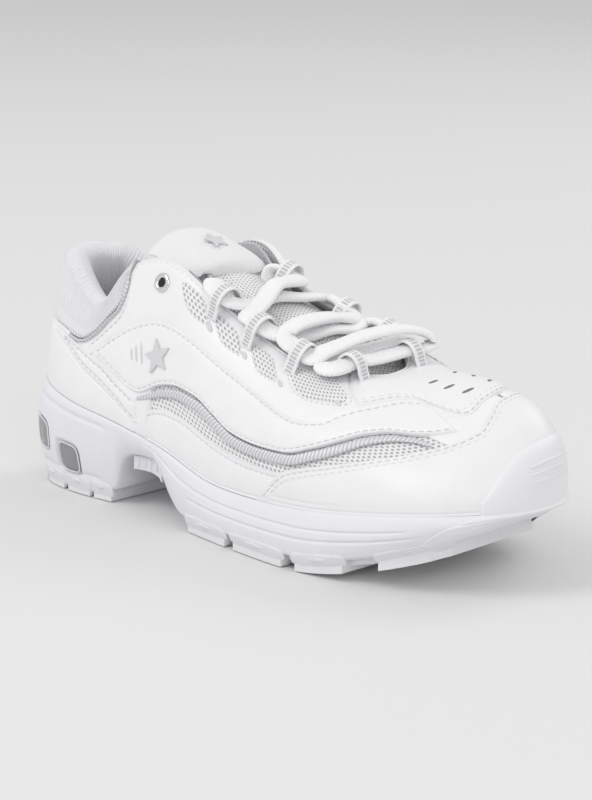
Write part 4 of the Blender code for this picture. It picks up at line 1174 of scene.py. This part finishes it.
def loops():
    """Striped webbing bridges that the lace runs under."""
    t = np.sin(np.linspace(-math.pi / 2, math.pi / 2, 41))
    for name, outer, inner, lace_way in LOOPS:
        outer, inner = np.array(outer), np.array(inner)
        run = unit(inner - outer)
        width = unit(np.array(lace_way) - run * run.dot(lace_way))
        normal = np.cross(run, width)
        normal = normal * math.copysign(1.0, normal[2])
        rise = LOOP_RISE * (1 - t * t) ** 0.6 + LOOP_FOOT_RISE + 0.55
        path = (outer + (inner - outer) * ((t + 1) / 2)[:, None]) + normal * rise[:, None]
        tails = [path[0] - normal * d - run * 0.4 * d for d in (5.0, 3.4, 1.7)]
        ends = [path[-1] - normal * d + run * 0.3 * d for d in (1.7, 3.4, 5.0)]
        path = even_points(np.concatenate([tails, path[::2], ends]), 0.5)
        out = unit(np.cross(np.gradient(path, axis=0), width))
        out = out * np.sign(out.dot(normal).mean() + 1e-9)
        strap = sweep("loop_strap_" + name, path, out, oval(3.0, 0.55, 14, 0.45), WEBBING)
        finish_piece(strap, "webbing", "lace_loop_" + name)


def lace():
    """Flat padded lace along the route that the CAD tube takes."""
    path = even_points(LACE_ROUTE, 1.0)
    normal = np.stack([0.2 + 0 * path[:, 0], 0.022 * (path[:, 1] - 0.5),
                       np.full(len(path), 0.95)], -1)
    hanging = np.clip((100 - path[:, 2]) / 6, 0, 1) * (path[:, 0] < 112)
    normal = normal * (1 - hanging[:, None]) + np.array((-1.0, 0.0, 0.1)) * hanging[:, None]
    tangent = unit(np.gradient(path, axis=0))
    normal = normal - tangent * (normal * tangent).sum(1, keepdims=True)
    normal = unit(normal)
    window = np.ones(13) / 13
    padded = np.concatenate([normal[:1]] * 6 + [normal] + [normal[-1:]] * 6)
    normal = unit(np.stack([np.convolve(padded[:, k], window, "valid") for k in range(3)], -1))
    walked = lengths(path)
    swell = 1 + 0.05 * np.sin(walked / 5.5)
    swell *= np.clip(np.minimum(walked, walked[-1] - walked) / 8, 0, 1) * 0.5 + 0.5
    flat = sweep("lace_flat", path, normal, oval(4.3, 1.9, 22, 0.8), LACE, swell)
    finish_piece(flat, "lace", "lace")
    for side in ("lateral", "medial"):
        relook("aglet_" + side, TIP)


# ---------------------------------------------------------------- sole

# Long shallow grooves along the side of the midsole: first and last station, height.
GROOVES = ((0.0, 4.2, 0.86, 0.86), (5.2, 12.0, 0.74, 0.60), (6.6, 12.2, 0.46, 0.40),
           (0.0, 3.9, 0.13, 0.13))
WINDOW_DEPTH = 1.5


def carve(s, q):
    """How far the wall is carved in at (s, q): grooves, windows and its rounded foot."""
    side = fold(s)
    cut = np.zeros(np.broadcast(side, q).shape)
    for first, last, q_first, q_last in GROOVES:
        t = np.clip((side - first) / (last - first), 0, 1)
        inside = np.clip(np.minimum((side - first) * 3 + (first == 0), (last - side) * 3), 0, 1)
        cut = cut + 0.75 * inside * np.exp(-((q - q_first - (q_last - q_first) * t)
                                             / 0.028) ** 2)
    for s0, s1, q0, q1 in HEEL_WINDOWS:
        a = (side - (s0 + s1) / 2) / ((s1 - s0) / 2 + 0.06)
        b = (q - (q0 + q1) / 2) / ((q1 - q0) / 2 + 0.03)
        edge = (np.abs(a) ** 4 + np.abs(b) ** 4) ** 0.25
        cut = cut + WINDOW_DEPTH * np.clip((1.08 - edge) / 0.12, 0, 1)
    foot = np.clip(1 - q / 0.07, 0, 1) ** 2
    return cut + foot * 1.1


def midsole():
    """Moulded foam midsole with its grooves, lip and arch."""
    q = np.concatenate([np.linspace(0, 0.08, 5), np.linspace(0.1, 0.94, 46),
                        np.linspace(0.955, 1.0, 5)])
    stations = np.unique(np.concatenate([np.linspace(0, 15, 200), np.linspace(1.3, 3.2, 80)]))
    rings = []
    for s in stations:
        inset = 3.0 * np.clip((s - 13.3) / 0.3, 0, 1)
        walls = []
        for at in (s, TURN - s):
            row, out = station(at)
            lip = np.clip((q - 0.93) / 0.07, 0, 1) ** 2 * 0.8
            side = list(wall(at, q, -inset - carve(at, q) - lip))
            side.append(row[0:3] - out * (inset - LIP_OUT + 1.6) + UP * (LIP_RISE - 0.2))
            side.append(row[0:3] - out * (inset - LIP_OUT + 2.4) - UP * DECK_DROP)
            walls.append(side)
        outer, inner = walls
        deck = [outer[-1] + (inner[-1] - outer[-1]) * t for t in (0.25, 0.5, 0.75)]
        under = [inner[0] + (outer[0] - inner[0]) * t for t in (0.25, 0.5, 0.75)]
        rings.append(outer + deck + inner[::-1] + under)
    made = ring_solid("midsole_moulded", np.array(rings), FOAM, sharp=50, caps=False)
    join_doubles(made)
    finish_piece(made, "foam", "midsole")


def join_doubles(piece, distance=0.004):
    """Merges points that lie on each other, within a distance in millimetres."""
    work = bmesh.new()
    work.from_mesh(piece.data)
    bmesh.ops.remove_doubles(work, verts=work.verts, dist=distance * MM)
    work.to_mesh(piece.data)
    work.free()
    piece.data.shade_smooth()
    piece.data.set_sharp_from_angle(angle=math.radians(50))


def heel_windows():
    """Smoked windows sunk into the heel, each in a thin frame."""
    for side in ("lateral", "medial"):
        for k, (s0, s1, q0, q1) in enumerate(HEEL_WINDOWS, 1):
            radii, x, y = rounded_rings((0.03, 0.4, 0.75, 0.93, 1.0), 0.5)
            s = mirrored((s0 + s1) / 2, side) + (s1 - s0) / 2 * radii * x
            q = (q0 + q1) / 2 + (q1 - q0) / 2 * radii * y
            dome = 0.9 * np.sqrt(1 - radii ** 2) + 0 * s
            top, low = wall(s, q, dome - WINDOW_DEPTH + 0.15), wall(s, q, -WINDOW_DEPTH - 0.6)
            node = "heel_window_%s_%d" % (side, k)
            finish_piece(disk_solid(node + "_glass", top, low, WINDOW), "window_plastic", node)
            path = wall(s[-1], q[-1], -0.5)
            path = np.concatenate([path, path[:2]])
            finish_piece(round_tube(node + "_frame", path, 0.35, FRAME_GREY),
                         "window_plastic")


def bumper_station(a, q):
    """Station at a share a of the way round the bumper, whose ends slant down the wall."""
    start = 12.0 + 1.25 * np.clip(q, 0, 1) ** 1.3
    return start + (TURN - 2 * start) * a


def toe_bumper():
    """Ribbed rubber bumper wrapped up over the toe."""
    top = smooth_line(BUMPER_TOP)
    ends = 0.5 - 0.5 * np.cos(np.linspace(0, 1, 7) * math.pi / 2)
    a = np.unique(np.concatenate([np.linspace(0, 1, 150), ends * 0.04, 1 - ends * 0.04]))
    a = a[:, None]
    q = np.linspace(0, 1, 24)[None]
    s = bumper_station(a, q)
    edge = 1 - np.clip(1 - np.minimum(a, 1 - a) / 0.012, 0, 1) ** 2
    stand = 0.75 * edge - 0.25
    lower = wall(s, q, stand - 1.0 * np.clip(1 - q / 0.1, 0, 1) ** 2 + groove_wave(s, q))
    t = np.linspace(0, 1, 16)[None, 1:]
    s_up = bumper_station(a, 1.0) + 0 * t
    h = 0.012 + (0.012 + top(fold(s_up))) * t
    lift = (BUMPER_LAYER - 1.9 * np.clip((t - 0.8) / 0.2, 0, 1) ** 2.2) * (0.5 + 0.5 * edge)
    outer = np.concatenate([lower, skin(s_up, h, lift)], 1)
    inner = np.concatenate([wall(s, q, -2.9), skin(s_up, h, 0.3)], 1)
    finish_piece(closed_sheet("toe_bumper_moulded", outer, inner, RUBBER), "bumper_rubber",
                 "toe_bumper")
    for k, height in enumerate((0.085, 0.112, 0.139)):
        at = np.linspace(14.35, 15.65, 60)
        rib = sweep("bumper_rib_%d" % (k + 1), skin(at, height, BUMPER_LAYER),
                    form_normal(at, height), oval(0.75, 0.55, 10),
                    RUBBER, 0.4 + 0.6 * np.sin(np.linspace(0, math.pi, 60)) ** 0.5)
        finish_piece(rib, "bumper_rubber")


def lug_wraps():
    """Tread that wraps up over the side of the sole above each lug, with a round recess."""
    for side in ("lateral", "medial"):
        for k, (s0, s1) in enumerate((*HEEL_LUGS[1:], *FOREFOOT_LUGS), 1):
            middle, half = (s0 + s1) / 2, (s1 - s0) / 2 + 0.08
            at = mirrored(middle, side)
            tall = 0.10 if s1 < 5 else 0.17
            wall_patch("lug_wrap_%s_%d" % (side, k), at, half, -0.02, tall, 0.7, TREAD, 0.5)
            wall_patch("lug_recess_%s_%d" % (side, k), at, half * 0.32, 0.02, tall * 0.3,
                       1.25, TREAD, 0.9)


def wall_patch(name, s0, half_s, q0, half_q, offset, look, power):
    """Rounded patch of rubber on the side wall of the sole."""
    radii, x, y = rounded_rings((0.05, 0.4, 0.7, 0.86, 0.95, 1.0), power)
    s, q = s0 + half_s * radii * x, q0 + half_q * radii * y
    rise = offset * np.sqrt(1 - np.clip((radii - 0.7) / 0.3, 0, 1) ** 2) + 0 * s
    top, low = wall(s, q, rise), wall(s, q, -0.8)
    for grid in (top, low):
        grid[..., 2] = np.maximum(grid[..., 2], 0.25)
    return finish_piece(disk_solid(name, top, low, look), "outsole_rubber")


def groove_wave(s, q):
    """Two grooves along the sides of the bumper."""
    side = fold(s)
    inside = np.clip(np.minimum((side - 12.5) * 3, (14.0 - side) * 3), 0, 1)
    cut = sum(np.exp(-((q - at) / 0.03) ** 2) for at in (0.42, 0.68))
    return -0.7 * inside * cut


def arch_ribs():
    """Plain raised ribs on the sides of the arch bridge."""
    for side in ("lateral", "medial"):
        for k in range(4):
            s = mirrored(4.82 + 0.2 * k, side)
            row, out = station(s)
            foot = row[0:3] + out * (REACH(fold(s)) - 1.6)
            low = UNDER(foot[0]) - 5.6
            path = np.array([foot * (1, 1, 0) + UP * (low + 4.6 * t) for t in
                             np.linspace(0, 1, 12)])
            rib = sweep("arch_rib_%s_%d" % (side, k + 1), path, np.tile(out, (12, 1)),
                        oval(0.9, 0.8, 10), SHANK,
                        0.4 + 0.6 * np.sin(np.linspace(0, math.pi, 12)) ** 0.5)
            finish_piece(rib, "shank_plastic")


def cad_looks():
    """Better materials and soft edges for the CAD pieces that stay."""
    looks = {"outsole_heel": (TREAD, 0.8), "outsole_forefoot": (TREAD, 0.8),
             "arch_shank": (SHANK, 0.8), "insole_board": (BOARD, 0.2),
             "sockliner": (LINING_SHADED, 1.0), "lining": (LINING_SHADED, 0.2),
             "heel_counter": (BOARD, 0.2), "toe_puff": (BOARD, 0.2)}
    for node, (look, width) in looks.items():
        relook(node, look, width)


# ---------------------------------------------------------------- stage

def area_light(name, place, aim, size, power):
    """Round soft light that faces a point."""
    light = bpy.data.lights.new(name, "AREA")
    light.shape = "DISK"
    light.size = size
    light.energy = power
    made = bpy.data.objects.new(name, light)
    made.location = place
    made.rotation_euler = (Vector(aim) - Vector(place)).to_track_quat("-Z", "Y").to_euler()
    bpy.context.scene.collection.objects.link(made)


# Name, place and height of the point it faces in metres, size in metres, power in watts.
LIGHTS = (("key", (-0.9, -2.2, 2.6), 0.05, 1.8, 34.0),
          ("fill", (2.2, -1.6, 1.4), 0.05, 1.8, 12.0),
          ("rim", (0.5, 2.4, 2.2), 0.06, 1.8, 16.0))
FLOOR_HALF = 6.0
FLOOR_LEVEL = -0.0005


def stage():
    """Pale floor, soft lights and an even sky."""
    scene = bpy.context.scene
    mesh = bpy.data.meshes.new("floor")
    corners = ((-1, -1), (1, -1), (1, 1), (-1, 1))
    mesh.from_pydata([(x * FLOOR_HALF, y * FLOOR_HALF, FLOOR_LEVEL) for x, y in corners], [],
                     [(0, 1, 2, 3)])
    look = Look("floor_pale", (0.77, 0.77, 0.77), 0.9, specular=0.1)
    look.paint(look.noise(400.0), (0.766, 0.766, 0.766), (0.774, 0.774, 0.774))
    mesh.materials.append(look.mat)
    floor = bpy.data.objects.new("floor", mesh)
    scene.collection.objects.link(floor)
    scene.world = scene.world or bpy.data.worlds.new("studio")
    scene.world.use_nodes = True
    background = scene.world.node_tree.nodes["Background"]
    background.inputs[0].default_value = (0.80, 0.80, 0.80, 1.0)
    background.inputs[1].default_value = 0.87
    for name, place, height, size, power in LIGHTS:
        area_light(name, place, (0.0, 0.0, height), size, power)
    scene.view_settings.view_transform = "Standard"


LENS_MM = 106.926
CAMERA_DISTANCE = 900.0


def camera():
    """Camera at the outer front corner, a little above the shoe."""
    azimuth, elevation, roll = (math.radians(a) for a in (41.37, 12.59, 1.111))
    aim = np.array((220.54, -90.79, 81.38))
    back = np.array((math.sin(azimuth) * math.cos(elevation),
                     -math.cos(azimuth) * math.cos(elevation), math.sin(elevation)))
    right = np.array((math.cos(azimuth), math.sin(azimuth), 0.0))
    up = np.cross(back, right)
    right, up = (math.cos(roll) * right + math.sin(roll) * up,
                 -math.sin(roll) * right + math.cos(roll) * up)
    data = bpy.data.cameras.new("camera")
    data.lens = LENS_MM
    data.sensor_width = 36
    data.clip_start = 0.01
    made = bpy.data.objects.new("camera", data)
    place = world(aim + back * CAMERA_DISTANCE)
    turn = Matrix(np.stack([right, up, back], 1).tolist())
    made.matrix_world = Matrix.Translation(place.tolist()) @ turn.to_4x4()
    bpy.context.scene.collection.objects.link(made)
    bpy.context.scene.camera = made


camera()
lace()
loops()
mesh_bases()
upper_panels()
eyestay_details()
eyelets()
pipings()
collar()
tongue_lower()
finish_piece(make_stitches("tongue_stitches"), "lace")
tongue_pad()
emblems()
midsole()
heel_windows()
toe_bumper()
lug_wraps()
arch_ribs()
cad_looks()
stage()

bpy.context.view_layer.update()
